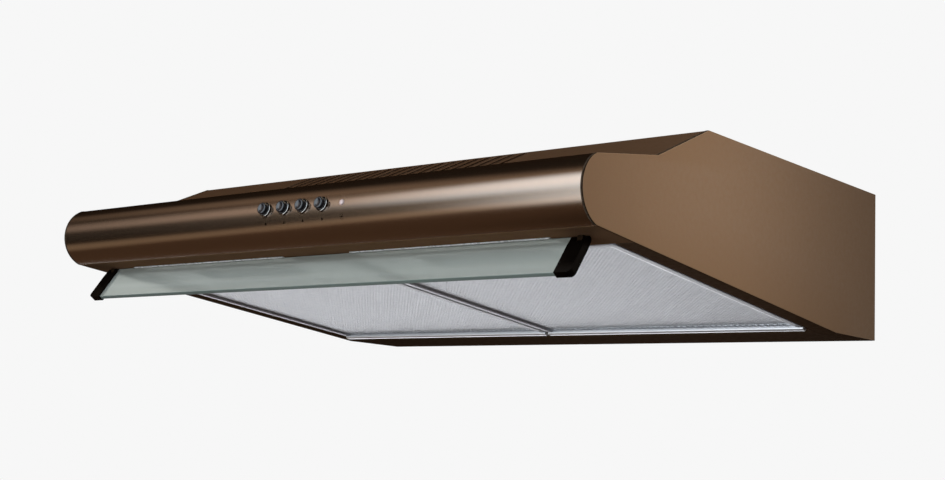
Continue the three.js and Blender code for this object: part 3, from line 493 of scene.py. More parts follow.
def round_corner(before, corner, after, radius, steps=6):
    """The corner of a path replaced by an arc that touches both of its sides."""
    b, c, a = (Vector(p) for p in (before, corner, after))
    into, out = (b - c).normalized(), (a - c).normalized()
    half = into.angle(out) / 2
    reach = radius / math.tan(half)
    centre = c + (into + out).normalized() * (radius / math.sin(half))
    start, end = c + into * reach - centre, c + out * reach - centre
    points = []
    for i in range(steps + 1):
        direction = start.lerp(end, i / steps)
        points.append(tuple(centre + direction.normalized() * radius))
    return points


def bent_sheet(path, thickness):
    """The closed outline of a bent sheet whose outer face follows path and that lies to the right of it."""
    points = [Vector(p) for p in path]

    def side(a, b):
        return Vector((b.y - a.y, a.x - b.x)).normalized()

    inner = []
    for i, point in enumerate(points):
        before = side(points[i - 1], point) if i else side(point, points[i + 1])
        after = side(point, points[i + 1]) if i < len(points) - 1 else before
        middle = (before + after).normalized()
        inner.append(point + middle * (thickness / middle.dot(before)))
    return [tuple(p) for p in points + inner[::-1]]


def box_outline(left, low, right, high):
    return [(left, low), (right, low), (right, high), (left, high)]


def mirrored(side, near, far):
    return (-far, -near) if side < 0 else (near, far)


def flat_faces(obj):
    """Keeps large faces flat and long curves true where small rounded edges meet them."""
    modifier = obj.modifiers.new("normals", "WEIGHTED_NORMAL")
    modifier.keep_sharp = True


def use(obj, body, slot, *nodes):
    flat_faces(obj)
    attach(obj, body)
    if nodes:
        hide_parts(*nodes)
    return obj


def joined(name, objects):
    """Several meshes as one object, which keeps the first one's material slots."""
    work = bmesh.new()
    for part in objects:
        work.from_mesh(part.data)
    mesh = bpy.data.meshes.new(name)
    work.to_mesh(mesh)
    work.free()
    for material in objects[0].data.materials:
        mesh.materials.append(material)
    result = bpy.data.objects.new(name, mesh)
    bpy.context.collection.objects.link(result)
    for part in objects:
        bpy.data.objects.remove(part, do_unlink=True)
    return result


# ------------ camera and studio
def make_camera():
    """The main viewpoint: from the front right, a little below the hood."""
    place = Vector((0.8640, -1.2676, -0.1848))
    yaw, pitch, roll = radians(39.79), radians(8.23), radians(2.62)
    forward = Vector((-math.sin(yaw) * math.cos(pitch), math.cos(yaw) * math.cos(pitch), math.sin(pitch)))
    level = Vector((math.cos(yaw), math.sin(yaw), 0))
    upright = level.cross(forward)
    right = math.cos(roll) * level + math.sin(roll) * upright
    up = -math.sin(roll) * level + math.cos(roll) * upright
    data = bpy.data.cameras.new("camera")
    data.lens = 54.84
    data.sensor_width = 36.0
    data.clip_start = 0.01
    camera = bpy.data.objects.new("camera", data)
    bpy.context.collection.objects.link(camera)
    turn = Matrix((right, up, -forward)).transposed().to_4x4()
    camera.matrix_world = Matrix.Translation(place) @ turn
    bpy.context.scene.camera = camera


class World:
    """The studio light: a dim room with rectangular softboxes far away in given directions."""

    def __init__(self, base):
        world = bpy.data.worlds.new("studio")
        bpy.context.scene.world = world
        world.use_nodes = True
        self.tree = world.node_tree
        self.direction = self.tree.nodes.new("ShaderNodeTexCoord").outputs["Generated"]
        self.total = base

    def node(self, kind, operation, *values):
        made = self.tree.nodes.new(kind)
        made.operation = operation
        for socket, value in zip(made.inputs, values):
            if isinstance(value, (int, float, tuple, Vector)):
                socket.default_value = value
            else:
                self.tree.links.new(value, socket)
        return made

    def math(self, operation, *values):
        return self.node("ShaderNodeMath", operation, *values).outputs[0]

    def dot(self, axis):
        return self.node("ShaderNodeVectorMath", "DOT_PRODUCT", self.direction, axis).outputs["Value"]

    def window(self, value, half, soft):
        ranged = self.tree.nodes.new("ShaderNodeMapRange")
        ranged.interpolation_type = "SMOOTHSTEP"
        ranged.inputs["From Min"].default_value = half + soft
        ranged.inputs["From Max"].default_value = half - soft
        self.tree.links.new(self.math("ABSOLUTE", value), ranged.inputs["Value"])
        return ranged.outputs["Result"]

    def softbox(self, azimuth, elevation, half_width, half_height, colour, soft_across, soft_upwards):
        """azimuth is in degrees from -Y (the front), positive towards +X; half sizes are tangents."""
        az, el = radians(azimuth), radians(elevation)
        forward = Vector((math.sin(az) * math.cos(el), -math.cos(az) * math.cos(el), math.sin(el)))
        right = Vector((math.cos(az), math.sin(az), 0))
        up = right.cross(forward)
        ahead = self.dot(forward)
        safe = self.math("MAXIMUM", ahead, 0.02)
        across = self.window(self.math("DIVIDE", self.dot(right), safe), half_width, soft_across)
        upwards = self.window(self.math("DIVIDE", self.dot(up), safe), half_height, soft_upwards)
        seen = self.math("GREATER_THAN", ahead, 0.02)
        shape = self.math("MULTIPLY", self.math("MULTIPLY", across, upwards), seen)
        light = self.node("ShaderNodeVectorMath", "SCALE", colour).outputs["Vector"]
        self.tree.links.new(shape, light.node.inputs["Scale"])
        self.total = self.node("ShaderNodeVectorMath", "ADD", self.total, light).outputs["Vector"]

    def finish(self, backdrop):
        nodes, links = self.tree.nodes, self.tree.links
        studio = nodes["Background"]
        links.new(self.total, studio.inputs["Color"])
        plain = nodes.new("ShaderNodeBackground")
        plain.inputs["Color"].default_value = (*backdrop, 1.0)
        choose = nodes.new("ShaderNodeMixShader")
        path = nodes.new("ShaderNodeLightPath")
        seen = self.math("MAXIMUM", path.outputs["Is Camera Ray"], path.outputs["Is Transmission Ray"])
        links.new(seen, choose.inputs["Fac"])
        links.new(studio.outputs["Background"], choose.inputs[1])
        links.new(plain.outputs["Background"], choose.inputs[2])
        links.new(choose.outputs["Shader"], nodes["World Output"].inputs["Surface"])


def make_studio():
    world = World((0.008, 0.003, 0.001))
    world.softbox(-5, 25, 0.73, 0.40, (2.2, 2.5, 2.75), 0.18, 0.22)
    world.softbox(-5, -16, 0.62, 0.36, (2.3, 2.5, 2.65), 0.14, 0.22)
    world.softbox(-40, 24, 0.36, 0.16, (0.62, 0.47, 0.37), 0.20, 0.14)
    world.softbox(-62, 42, 0.35, 0.10, (0.30, 0.20, 0.13), 0.20, 0.12)
    world.softbox(-52, -22, 0.60, 0.10, (0.34, 0.24, 0.15), 0.08, 0.08)
    world.softbox(-85, -42, 0.80, 0.25, (0.10, 0.055, 0.03), 0.30, 0.15)
    world.softbox(-134, -13, 0.35, 0.20, (2.6, 2.64, 2.73), 0.16, 0.1)
    world.softbox(120, 12, 0.635, 0.5, (0.3, 0.26, 0.23), 0.145, 0.2)
    world.softbox(180, 55, 0.36, 0.36, (1.5, 1.2, 0.85), 0.2, 0.2)
    world.softbox(180, -6, 0.2, 0.2, (0.8, 0.72, 0.64), 0.1, 0.1)
    world.finish((0.93, 0.93, 0.93))
    card("under_card", (0.07, -0.38, -0.32), (0.07, -0.38, 0), 0.14, 0.22, 0.16)
    card("side_card", (0.60, -0.33, 0.05), (0.30, -0.33, 0.02), 0.16, 0.12, 0.7)
    half, drop = 9000, 2500
    floor = prism("floor", box_outline(-half, -half, half, half), -drop - 2, -drop, "Z", SHIFT, "floor")
    floor.visible_glossy = False
    floor.visible_diffuse = False
    scene = bpy.context.scene
    scene.view_settings.view_transform = "Standard"
    scene.view_settings.look = "None"


def card(name, place, aim, width, height, power):
    """A small lit card close to the hood, which grades one face of it."""
    data = bpy.data.lights.new(name, "AREA")
    data.shape = "RECTANGLE"
    data.size, data.size_y = width, height
    data.energy = power
    light = bpy.data.objects.new(name, data)
    bpy.context.collection.objects.link(light)
    light.visible_camera = False
    light.visible_glossy = False
    facing = (Vector(aim) - Vector(place)).to_track_quat("-Z", "Y")
    light.matrix_world = Matrix.Translation(place) @ facing.to_matrix().to_4x4()


# ------------ shell
def nose_path():
    arc_points = arc((NOSE_Y, NOSE_Z), NOSE_RADIUS, NOSE_BOTTOM_ANGLE, NOSE_TOP_ANGLE, 84)
    end = (NOTCH[0] - 0.5, NOTCH[1])
    top_corner = round_corner(arc_points[-2], arc_points[-1], end, 6.0, 4)
    end_corner = round_corner(arc_points[-1], end, (end[0], end[1] - LIP_DEPTH), 1.5, 5)
    return arc_points[:-2] + top_corner + end_corner + [(end[0], end[1] - LIP_DEPTH)]


def make_nose():
    """The rolled front sheet, with holes for the controls; its lowest rows take the darker matte copy of the
    paint, painted shade.
    """
    section = bent_sheet(nose_path(), SHEET)
    nose = prism("nose_skin", section, -NOSE_HALF_WIDTH, NOSE_HALF_WIDTH, material="nose")
    buttons = [BUTTON_FIRST + i * BUTTON_PITCH for i in range(BUTTON_COUNT)]
    holes = [(x, BEZEL_OUTER + 0.15) for x in buttons] + [(PILOT_X, PILOT_RADIUS + 0.15)]
    cutters = [
        revolve("hole", [(0, 15), (r, 15), (r, 40), (0, 40)], 40, CONTROLS, (x, 0)) for x, r in holes
    ]
    finish_mesh(nose, cutters, bevel=0.3, angle=25)
    to_drawing = SHIFT.inverted()

    def lower_edge(face):
        point = to_drawing @ face.center
        turn = math.degrees(math.atan2(point.z - NOSE_Z, point.y - NOSE_Y)) % 360
        return turn > NOSE_BOTTOM_ANGLE - 0.75 and point.z < NOSE_Z - NOSE_RADIUS / 2

    # painted shade: the lowest rows of the nose take the darker matte copy of the paint
    recolour(nose, "under", lower_edge)
    use(nose, "hood", "body_brown", "nose_fascia")


def stadium(x, start, end, radius, steps=6):
    return arc((x, end - radius), radius, 0, 180, steps) + arc((x, start + radius), radius, 180, 360, steps)


def well_skin(radius, hole, x, y, segments):
    """A round well pressed into the top, with rolled corners and a hole in its floor."""
    floor = HEIGHT - WELL_DEPTH
    corner = 1.4
    rise = [
        (radius - corner * math.sin(radians(a)), floor + corner - corner * math.cos(radians(a)))
        for a in range(90, -1, -15)
    ]
    roll = [
        (radius + corner * (1 - math.cos(radians(a))), HEIGHT - corner + corner * math.sin(radians(a)))
        for a in range(90, -1, -15)
    ]
    upper = [(radius + WELL_BORDER, HEIGHT)] + roll + rise + [(hole, floor)]
    lower = [(hole, floor - SHEET), (radius, floor - SHEET)]
    lower += [(radius + SHEET, floor), (radius + WELL_BORDER, HEIGHT - SHEET)]
    return revolve("well", upper + lower, segments, SHIFT, (x, y), "brown", closed=True)


def vent_row(name, grow, low, high, slope, material=None):
    """One upright stadium per vent slot, grown outwards all round, as one mesh."""
    parts = []
    for i in range(VENT_COUNT):
        x = VENT_OFFSET + (i - (VENT_COUNT - 1) / 2) * VENT_PITCH
        outline = stadium(x, VENT_START - grow, VENT_END + grow, VENT_WIDTH / 2 + grow)
        parts.append(prism(name, outline, low, high, "Z", slope, material))
    return joined(name, parts)


def make_top():
    """The flat top and the slotted ramp behind the nose, with raised slot lips and the two wells."""
    climb = math.atan2(PEAK[1] - NOTCH[1], PEAK[0] - NOTCH[0])
    start = (NOTCH[0] + 0.5, NOTCH[1] + 0.5 * math.tan(climb))
    foot = (start[0], start[1] - LIP_DEPTH)
    rear = (DEPTH - SHEET - 0.4, HEIGHT)
    path = [foot] + round_corner(foot, start, PEAK, 1.5, 5) + round_corner(start, PEAK, rear, 4.0, 8) + [rear]
    # painted shade: the top sheet takes the darker top copy of the body paint
    top = prism("top_sheet", bent_sheet(path, SHEET), -SHELL_HALF_WIDTH, SHELL_HALF_WIDTH, material="brown")
    slope = SHIFT @ Matrix.Translation((0, *NOTCH)) @ Matrix.Rotation(climb, 4, "X")
    holes = [
        (0, OUTLET_Y, DUCT_WELL_RADIUS + WELL_BORDER, 96),
        (GROMMET_X, GROMMET_Y, CABLE_WELL_RADIUS + WELL_BORDER, 48),
    ]
    holes += [(side * SCREW_HOLE_X, y, SCREW_HOLE_RADIUS, 24) for _, side in SIDES for y in SCREW_HOLE_ROWS]
    cutters = [
        revolve("hole", [(0, 130), (radius, 130), (radius, 145), (0, 145)], segments, SHIFT, (x, y))
        for x, y, radius, segments in holes
    ]
    lips = vent_row("lips", 1.1, -0.3, 0.5, slope, "brown")
    finish_mesh(lips, [vent_row("slots", 0, -6, 6, slope)], bevel=0.2)
    finish_mesh(top, [vent_row("slots", 0, -6, 6, slope)] + cutters, bevel=0.3)
    down = slope.to_3x3().normalized().transposed()
    back = slope.inverted()

    def slot_wall(face):
        upright = abs((down @ face.normal).z) < 0.5
        return upright and VENT_START - 0.5 < (back @ face.center).y < VENT_END + 0.5

    # painted shade: the vent slot walls take the near-black finish, so the slots read dark
    recolour(top, "black_shade", slot_wall)
    wells = [
        well_skin(DUCT_WELL_RADIUS, OUTLET_HOLE, 0, OUTLET_Y, 96),
        well_skin(CABLE_WELL_RADIUS, GROMMET_HOLE, GROMMET_X, GROMMET_Y, 48),
    ]
    for well in wells:
        finish_mesh(well, angle=40)
    use(joined("top_skin", [top, lips] + wells), "hood", "body_brown", "top_cover")


def side_outline():
    arc_points = arc((NOSE_Y, NOSE_Z), NOSE_RADIUS, NOSE_BOTTOM_ANGLE, NOSE_TOP_ANGLE, 84)
    return arc_points + [NOTCH, PEAK, (DEPTH, HEIGHT), (DEPTH, 0), (KNEE_Y, 0)]


def recolour(obj, key, chosen):
    """Gives the faces that chosen(face) picks a second finish."""
    obj.data.materials.append(MATERIALS[key])
    index = len(obj.data.materials) - 1
    for face in obj.data.polygons:
        if chosen(face):
            face.material_index = index


def make_shadow_seams():
    """A near-black strip in the gap between each side panel and the bent skins, a little proud of them:
    painted shade in the seam.
    """
    path = side_outline()[:-2]
    proud = bent_sheet(path, -0.15)[len(path):][::-1]
    for word, side in SIDES:
        parts = []
        for run, half_width in ((proud[:-3], NOSE_HALF_WIDTH), (proud[-4:], SHELL_HALF_WIDTH)):
            low, high = mirrored(side, half_width - 0.05, SIDE_PANEL_INNER_X + 0.05)
            parts.append(finish_mesh(prism("black_shade", bent_sheet(run, 1.2), low, high, material="black_shade")))
        use(joined(f"panel_shadow_seam_{word}", parts), "hood", "body_brown")


def make_side_panels():
    for word, side in SIDES:
        low, high = mirrored(side, SIDE_PANEL_INNER_X, WIDTH / 2)
        # painted light: the side plate takes the lighter side copy of the body paint
        plate = prism("plate", side_outline(), low, high, material="side")
        finish_mesh(plate, bevel=0.45, segments=3)
        # painted shade: the plate's edge faces take the near-black finish, a dark outline round the panel
        recolour(plate, "black_shade", lambda face: abs(face.normal.x) < 0.5)
        path = [(DEPTH - SHEET - 0.4, 0), (KNEE_Y, 0), underside_point(FILTER_START)]
        low, high = mirrored(side, WIDTH / 2 - FLANGE_WIDTH, SIDE_PANEL_INNER_X - 0.02)
        # painted shade: the flange beneath each side panel takes the darker matte copy of the paint
        flange = prism(f"side_flange_{word}", bent_sheet(path, SHEET), low, high, material="under")
        finish_mesh(flange, bevel=0.3)
        use(flange, "hood", "body_brown")
        plate.name = f"side_skin_{word}"
        use(plate, "hood", "body_brown", f"side_panel_{word}")


# ------------ grease filters
def ring_sweep(name, outlines, heights, matrix, material):
    """A closed ring swept round a filter: nested loops with one height each, going round a section."""
    count = len(outlines[0])
    vertices = [(x, y, z) for loop, z in zip(outlines, heights) for x, y in loop]
    faces = []
    for k in range(len(outlines)):
        a, b = k * count, ((k + 1) % len(outlines)) * count
        faces += [(a + i, a + (i + 1) % count, b + (i + 1) % count, b + i) for i in range(count)]
    return new_object(name, vertices, faces, matrix, material)


def filter_loop(side, inset, steps=6):
    left, right = mirrored(side, FILTER_INNER_X, FILTER_OUTER_X)
    radius = max(RIM_CORNER - inset, 0.6)
    return rounded_rectangle(
        left + inset, FILTER_START + inset, right - inset, FILTER_END - inset, radius, steps
    )


def rim_section():
    """(inset, height) pairs round the frame: a flat face with rolled corners, a thin wall and a top lip."""
    low, corner = RIM_LOW + 2.3, 1.0
    outer = [
        (corner - corner * math.sin(radians(a)), low + corner - corner * math.cos(radians(a)))
        for a in range(90, -1, -18)
    ]
    inner = [(RIM_WIDTH - 0.2 - inset, height) for inset, height in reversed(outer)]
    lip = [
        (RIM_WIDTH - 0.2, RIM_TOP), (1.2, RIM_TOP), (1.2, FRAME_TOP - 1), (RIM_WIDTH, FRAME_TOP - 1),
        (RIM_WIDTH, FRAME_TOP), (0.4, FRAME_TOP), (0.0, FRAME_TOP - 0.4),
    ]
    return outer + inner + lip


def rear_roll(side):
    """The rolled rear edge of a filter: an upright bead across its whole width."""
    left, right = mirrored(side, FILTER_INNER_X + 0.4, FILTER_OUTER_X - 0.4)
    front, back, turn = FILTER_END - RIM_WIDTH + 0.05, FILTER_END - 0.05, 2.2
    bead = [(front, FACE_LOW - 0.3)]
    bead += arc((front + turn, RIM_LOW + turn), turn, 180, 270, 10)
    bead += arc((back - turn, RIM_LOW + turn), turn, 270, 360, 10) + [(back, FACE_LOW - 0.3)]
    roll = prism("roll", bead, left, right, "X", UNDERSIDE, "rim")
    return finish_mesh(roll, bevel=0.5, segments=3, angle=50)


def make_filter_rim(word, side):
    section = rim_section()
    outlines = [filter_loop(side, inset) for inset, _ in section]
    rim = ring_sweep("rim", outlines, [height for _, height in section], UNDERSIDE, "rim")
    roll = rear_roll(side)
    parts = [finish_mesh(rim, angle=40), roll]
    rim.data.materials.append(MATERIALS["bead"])
    for face in roll.data.polygons:
        face.material_index = 1
    for offset in (-TAB_INSET, TAB_INSET):
        x = side * FILTER_CENTRE + offset
        outline = box_outline(x - TAB_HALF_WIDTH, FILTER_END - 1, x + TAB_HALF_WIDTH, TAB_END)
        parts.append(finish_mesh(prism("tab", outline, TAB_LOW, TAB_HIGH, "Z", UNDERSIDE, "rim"), bevel=0.4))
    use(joined(f"filter_rim_{word}", parts), f"filter_{word}", "filter_aluminium", f"filter_frame_{word}")


def clipped(start, direction, region):
    """The part of a line inside a rectangle (left, front, right, back), as two distances, or None."""
    near, far = -1e9, 1e9
    for origin, step, low, high in zip(start, direction, region[:2], region[2:]):
        first, second = sorted(((low - origin) / step, (high - origin) / step))
        near, far = max(near, first), min(far, second)
    return (near, far) if far - near > 1.5 else None


def make_lattice(word, side):
    """The face sheet of expanded metal: two families of flat strands that cross on the diagonals."""
    left, right = mirrored(side, FILTER_INNER_X + 10, FILTER_OUTER_X - 10)
    front, back = FILTER_START + 10, FILTER_END - 12
    cup_x, cup_half, cup_back = side * FILTER_CENTRE, CUP_LENGTH / 2 + 3, CUP_END + 5
    regions = [
        (left, front, cup_x - cup_half, cup_back), (cup_x + cup_half, front, right, cup_back),
        (left, cup_back, right, back),
    ]
    vertices, faces = [], []
    for lean, low in ((1, FACE_LOW + 0.1), (-1, FACE_LOW + 0.25)):
        along = Vector((DIAMOND_X, lean * DIAMOND_Y)).normalized()
        beside = Vector((-along.y, along.x)) * STRAND_WIDTH / 2
        reach = (back - front) * DIAMOND_X / DIAMOND_Y
        first = left - reach if lean > 0 else left
        for i in range(int((right - left + reach) / DIAMOND_X) + 1):
            start = Vector((first + i * DIAMOND_X, front))
            for region in regions:
                span = clipped(start, along, region)
                if not span:
                    continue
                near, far = start + along * span[0], start + along * span[1]
                base = len(vertices)
                corners = (near - beside, far - beside, far + beside, near + beside)
                vertices += [(p.x, p.y, z) for z in (low, low + STRAND_THICKNESS) for p in corners]
                faces += [tuple(base + k for k in (0, 1, 2, 3)), tuple(base + k for k in (7, 6, 5, 4))]
                for k in range(4):
                    ahead = (k + 1) % 4
                    faces.append((base + k, base + ahead, base + 4 + ahead, base + 4 + k))
    lattice = new_object(f"filter_lattice_{word}", vertices, faces, UNDERSIDE, "face")
    use(lattice, f"filter_{word}", "filter_aluminium")


def make_filter_border(word, side):
    """The plain hem of the face sheet, with a row of drain holes along its rear edge."""
    outer, inner = filter_loop(side, HEM_OUTER), filter_loop(side, HEM_INNER)
    heights = [FACE_LOW, FACE_LOW, FACE_LOW + HEM_THICKNESS, FACE_LOW + HEM_THICKNESS]
    ring = ring_sweep("hem", [outer, inner, inner, outer], heights, UNDERSIDE, "face")
    left, right = mirrored(side, FILTER_INNER_X + 12, FILTER_OUTER_X - 12)
    count = int((right - left) / DRAIN_PITCH)
    holes = []
    for i in range(count):
        outline = stadium(left + (i + 0.5) * DRAIN_PITCH, *DRAIN_SPAN, DRAIN_WIDTH / 2, 4)
        holes.append(prism("hole", outline, 0, 2.9, "Z", UNDERSIDE))
    cup_x, cup_half = side * FILTER_CENTRE, CUP_LENGTH / 2 + 0.4
    cup_outline = box_outline(cup_x - cup_half, CUP_START - 0.4, cup_x + cup_half, CUP_END + 20)
    cup = prism("cup_hole", cup_outline, 0, 5, "Z", UNDERSIDE)
    finish_mesh(ring, [joined("holes", holes), cup], angle=30)
    # painted shade: a near-black sheet behind the drain holes, seen through them
    shade = prism(
        f"drain_shade_{word}", box_outline(left, DRAIN_SPAN[0] - 0.3, right, DRAIN_SPAN[1] + 0.3),
        FACE_LOW + 1.0, FACE_LOW + 1.3, "Z", UNDERSIDE, "black_shade",
    )
    finish_mesh(shade)
    use(shade, f"filter_{word}", "filter_aluminium")
    use(ring, f"filter_{word}", "filter_aluminium", f"filter_face_{word}")
    ring.name = f"filter_hem_{word}"


def make_latch(word, side):
    """The pressed finger cup: a lip on the face, rolled edges and sloping walls up to a flat bottom."""
    x = side * FILTER_CENTRE
    half = CUP_LENGTH / 2
    wall = (
        (-3.5, CUP_LOW + 0.9), (-3.5, CUP_LOW), (-0.5, CUP_LOW - 0.3),
        (1.2, CUP_LOW + 0.4), (2.2, CUP_HIGH - 1.6), (3.2, CUP_HIGH - 1.2),
    )
    loops, heights = [], []
    for inset, height in wall:
        left, right, front = x - half + inset, x + half - inset, CUP_START + max(inset, 0)
        loops.append(rounded_rectangle(left, front, right, CUP_END - inset, 4))
        heights.append(height)
    count = len(loops[0])
    vertices = [(px, py, z) for loop, z in zip(loops, heights) for px, py in loop]
    faces = [
        (k * count + i, k * count + (i + 1) % count, (k + 1) * count + (i + 1) % count, (k + 1) * count + i)
        for k in range(len(loops) - 1)
        for i in range(count)
    ]
    faces.append(tuple((len(loops) - 1) * count + i for i in range(count)))
    tray = new_object(f"latch_tray_{word}", vertices, faces, UNDERSIDE, "rim")
    solidify = tray.modifiers.new("wall", "SOLIDIFY")
    solidify.thickness = 0.7 * MM
    solidify.offset = -1
    finish_mesh(tray, angle=35)
    use(tray, f"filter_{word}", "filter_aluminium", f"latch_cup_{word}")


# ------------ visor
def make_visor():
    """A toughened pane with ground edges between two moulded end holders."""
    pane = prism(
        "visor_pane",
        rounded_rectangle(-GLASS_HALF_WIDTH, GLASS_BOTTOM, GLASS_HALF_WIDTH, GLASS_TOP, 1.5, 4),
        -GLASS_THICKNESS / 2, GLASS_THICKNESS / 2, "Y", VISOR, "glass",
    )
    finish_mesh(pane, bevel=0.5, segments=3)
    pane.data.materials.append(MATERIALS["glass_edge"])
    down = VISOR.to_3x3() @ Vector((0, 0, -1))
    for face in pane.data.polygons:
        if abs(face.normal.dot(down.normalized())) > 0.6:
            face.material_index = 1
    pane.visible_glossy = False
    use(pane, "visor", "visor_glass", "visor_glass")


def holder_section():
    half, bottom = HOLDER_THICKNESS / 2, HOLDER_BOTTOM
    points = arc((0, 0), KNUCKLE, 0, 180, 16)
    points += [(-KNUCKLE - 0.35, -4), (-half, -8), (-half, bottom)]
    points += arc((half - 1.5, bottom + 1.5), 1.5, 270, 360, 6)
    return points + [(half, -8), (KNUCKLE + 0.35, -4)]


def holder_front(side):
    """Seen from the front, an end holder has a large rounded outer corner."""
    corner = HOLDER_CORNER
    points = [(HOLDER_INNER, 6), (HOLDER_INNER, HOLDER_BOTTOM - 1e-3)]
    points += arc((HOLDER_OUTER - corner, HOLDER_BOTTOM + corner), corner, 270, 360, 10)
    points += [(HOLDER_OUTER, 6)]
    return [(side * x, z) for x, z in points]


def make_holders():
    """The moulded end holders: a groove for the pane and a fork round each hinge lug."""
    for word, side in SIDES:
        low, high = mirrored(side, HOLDER_INNER - 1, HOLDER_OUTER + 1)
        holder = prism(f"visor_end_{word}", holder_section(), low, high, "X", VISOR, "holder")
        keep = holder.modifiers.new("front", "BOOLEAN")
        keep.operation = "INTERSECT"
        keep.solver = "EXACT"
        front = prism("front", holder_front(side), -9, 9, "Y", VISOR)
        keep.object = front
        groove_low, groove_high = mirrored(side, HOLDER_INNER - 2, GLASS_HALF_WIDTH + 0.3)
        slit = GLASS_THICKNESS / 2 + 0.15
        groove_outline = box_outline(-slit, GLASS_BOTTOM - 0.2, slit, 5)
        groove = prism("groove", groove_outline, groove_low, groove_high, "X", VISOR)
        fork_low, fork_high = mirrored(side, LUG_INNER - 0.3, LUG_OUTER + 0.3)
        fork = prism("fork", box_outline(-9, -KNUCKLE - 0.4, 9, 5), fork_low, fork_high, "X", VISOR)
        finish_mesh(holder, [groove, fork], bevel=0.55, segments=4)
        bpy.data.objects.remove(front, do_unlink=True)
        holder.visible_glossy = False
        use(holder, "visor", "visor_black", f"visor_holder_{word}")


# ------------ controls
def make_printing():
    """Printed marks below the controls: a short tick under each button and a sun under the pilot light."""
    marks = []

    def print_mark(outline, y, span):
        """A mark from just below to just above the nose skin, which is measured at the mark's middle."""
        skin = math.sqrt(NOSE_RADIUS ** 2 - y ** 2)
        marks.append(prism("mark", outline, skin + span[0], skin + span[1], "Z", CONTROLS, "print_and_lug_shade"))

    for i in range(BUTTON_COUNT):
        x = BUTTON_FIRST + i * BUTTON_PITCH
        print_mark(box_outline(x - 0.35, MARK_DROP - 1.6, x + 0.35, MARK_DROP + 0.4), MARK_DROP, MARK_SPAN)
    print_mark(arc((PILOT_X, MARK_DROP), 0.9, 0, 345, 23), MARK_DROP, MARK_SPAN)
    centre = Vector((PILOT_X, MARK_DROP))
    for k in range(8):
        turn = radians(45 * k)
        across = Vector((math.cos(turn), math.sin(turn)))
        beside = Vector((-across.y, across.x)) * 0.22
        near, far = centre + across * 1.4, centre + across * 2.4
        ray = [tuple(p) for p in (near - beside, far - beside, far + beside, near + beside)]
        print_mark(ray, ((near + far) / 2).y, RAY_SPAN)
    use(joined("control_marks", marks), "hood", "black_plastic")


def make_controls():
    """Domed push buttons in chromed bezels, and the domed pilot lens beside them."""
    face = NOSE_RADIUS + BUTTON_PROUD
    r = BUTTON_RADIUS
    cap = [
        (0, 12), (3, 12), (3, 19), (r - 0.4, 19), (r, 19.4), (r, face - 1.3), (r - 0.15, face - 0.8),
        (r - 0.5, face - 0.3), (r - 1.0, face - 0.05), (r - 1.4, face), (r - 1.8, face - 0.12),
        (r - 2.4, face - 0.45), (r - 3.4, face - 0.65), (0, face - 0.7),
    ]
    rim = NOSE_RADIUS + BEZEL_PROUD
    bezel = [
        (BEZEL_INNER, NOSE_RADIUS - 4), (BEZEL_OUTER, NOSE_RADIUS - 4), (BEZEL_OUTER, rim - 0.5),
        (BEZEL_OUTER - 0.12, rim - 0.15), (BEZEL_OUTER - 0.37, rim), (BEZEL_INNER + 0.1, rim - 0.15),
        (BEZEL_INNER, rim - 0.5),
    ]
    for i in range(BUTTON_COUNT):
        x = BUTTON_FIRST + i * BUTTON_PITCH
        button = revolve(f"button_cap_{i + 1}", cap, 64, CONTROLS, (x, 0), "button")
        finish_mesh(button, angle=40)
        use(button, f"button_{i + 1}", "button_grey", f"button_{i + 1}")
        ring = revolve(f"bezel_ring_{i + 1}", bezel, 64, CONTROLS, (x, 0), "chrome", closed=True)
        finish_mesh(ring, angle=40)
        use(ring, "hood", "bezel_chrome", f"button_bezel_{i + 1}")
    dome = [(0, PILOT_FOOT), (PILOT_RADIUS, PILOT_FOOT), (PILOT_RADIUS, NOSE_RADIUS)]
    dome += [
        (PILOT_RADIUS * math.cos(radians(a)), NOSE_RADIUS + PILOT_PROUD * math.sin(radians(a)))
        for a in range(15, 90, 15)
    ] + [(0, NOSE_RADIUS + PILOT_PROUD)]
    pilot = revolve("pilot_dome", dome, 40, CONTROLS, (PILOT_X, 0), "pilot")
    finish_mesh(pilot, angle=40)
    use(pilot, "hood", "pilot_pink", "pilot_lens")


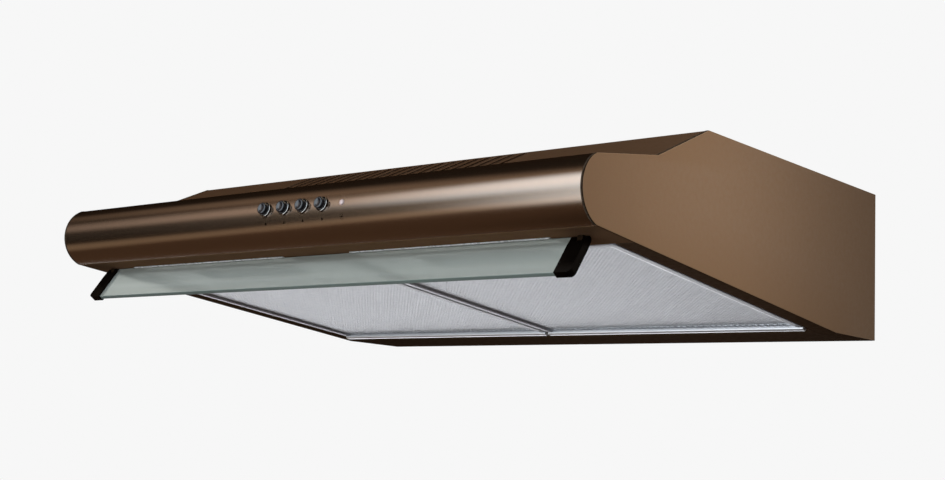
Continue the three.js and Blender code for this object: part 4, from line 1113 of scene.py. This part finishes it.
# ------------ outlet
def make_collar():
    """The round duct collar: a flange, a stiffening rib, a rolled rim and an inner ledge for the flaps."""
    foot, top = HEIGHT - WELL_DEPTH + 0.3, OUTLET_TOP
    inner, outer, flange = OUTLET_INNER, OUTLET_OUTER, OUTLET_FLANGE
    ledge, rib = OUTLET_LEDGE, OUTLET_RIB
    profile = [
        (inner, foot), (flange - 0.5, foot), (flange, foot + 0.5), (flange, foot + 1.6),
        (flange - 0.5, foot + 2), (outer + 1.2, foot + 2), (outer + 0.4, foot + 2.4), (outer, foot + 3.2),
        (outer, rib - 1), (outer + 0.5, rib - 0.5), (outer + 0.5, rib + 0.5), (outer, rib + 1),
        (outer, top - 1.2), (outer - 0.3, top - 0.4), (outer - 0.8, top),
        (inner + 0.2, top), (inner, top - 0.3),
        (inner, ledge), (inner - 4, ledge), (inner - 4, ledge - 1.4), (inner, ledge - 1.4),
    ]
    collar = revolve("collar_ring", profile, 128, SHIFT, (0, OUTLET_Y), "black", closed=True)
    finish_mesh(collar, angle=35)
    use(collar, "hood", "black_plastic", "outlet_collar")


# ------------ carried-over CAD nodes
CAD_FINISHES = {
    "zinc": (
        "back_panel centre_rail blower_scroll motor_body motor_shaft motor_plate capacitor_clip damper_pin"
    ),
    "holder": "visor_pin_left visor_pin_right",
    # painted shade: the front bottom sheet takes the matte copy of the body paint
    "strip": "front_underside_strip",
    # painted shade: the rear bottom sheet takes the darker matte copy of the paint
    "under": "rear_underside_strip",
    # painted shade: the hinge lugs take the near-black print finish, so they sink into the shadow of the
    # holders' forks
    "print_and_lug_shade": "visor_lug_left visor_lug_right",
    "pad": "filter_pad_left filter_pad_right",
    "latch": "filter_latch_left filter_latch_right",
    "lamp": "lamp_lens_left lamp_lens_right",
    "board": "lamp_board_left lamp_board_right",
    "white": "switch_block capacitor terminal_box terminal_box_lid",
    "black": "impeller damper_flap_left damper_flap_right",
    "rubber": "cable_grommet",
}


def soften(obj, width):
    """Welds the imported facets and rounds the edges with modifiers, which leave the CAD mesh as it is."""
    weld = obj.modifiers.new("weld", "WELD")
    weld.merge_threshold = 0.00001
    bevel = obj.modifiers.new("round", "BEVEL")
    bevel.width = width
    bevel.segments = 2
    bevel.limit_method = "ANGLE"
    bevel.angle_limit = radians(35)
    bevel.use_clamp_overlap = True
    flat_faces(obj)


def finish_cad_nodes():
    for key, names in CAD_FINISHES.items():
        for name in names.split():
            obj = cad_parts[name]
            obj.data.materials.clear()
            obj.data.materials.append(MATERIALS[key])
            soften(obj, 0.0003)


make_camera()
make_studio()
make_nose()
make_top()
make_side_panels()
make_shadow_seams()
for word, side in SIDES:
    make_filter_rim(word, side)
    make_lattice(word, side)
    make_filter_border(word, side)
    make_latch(word, side)
make_visor()
make_holders()
make_controls()
make_printing()
make_collar()
finish_cad_nodes()
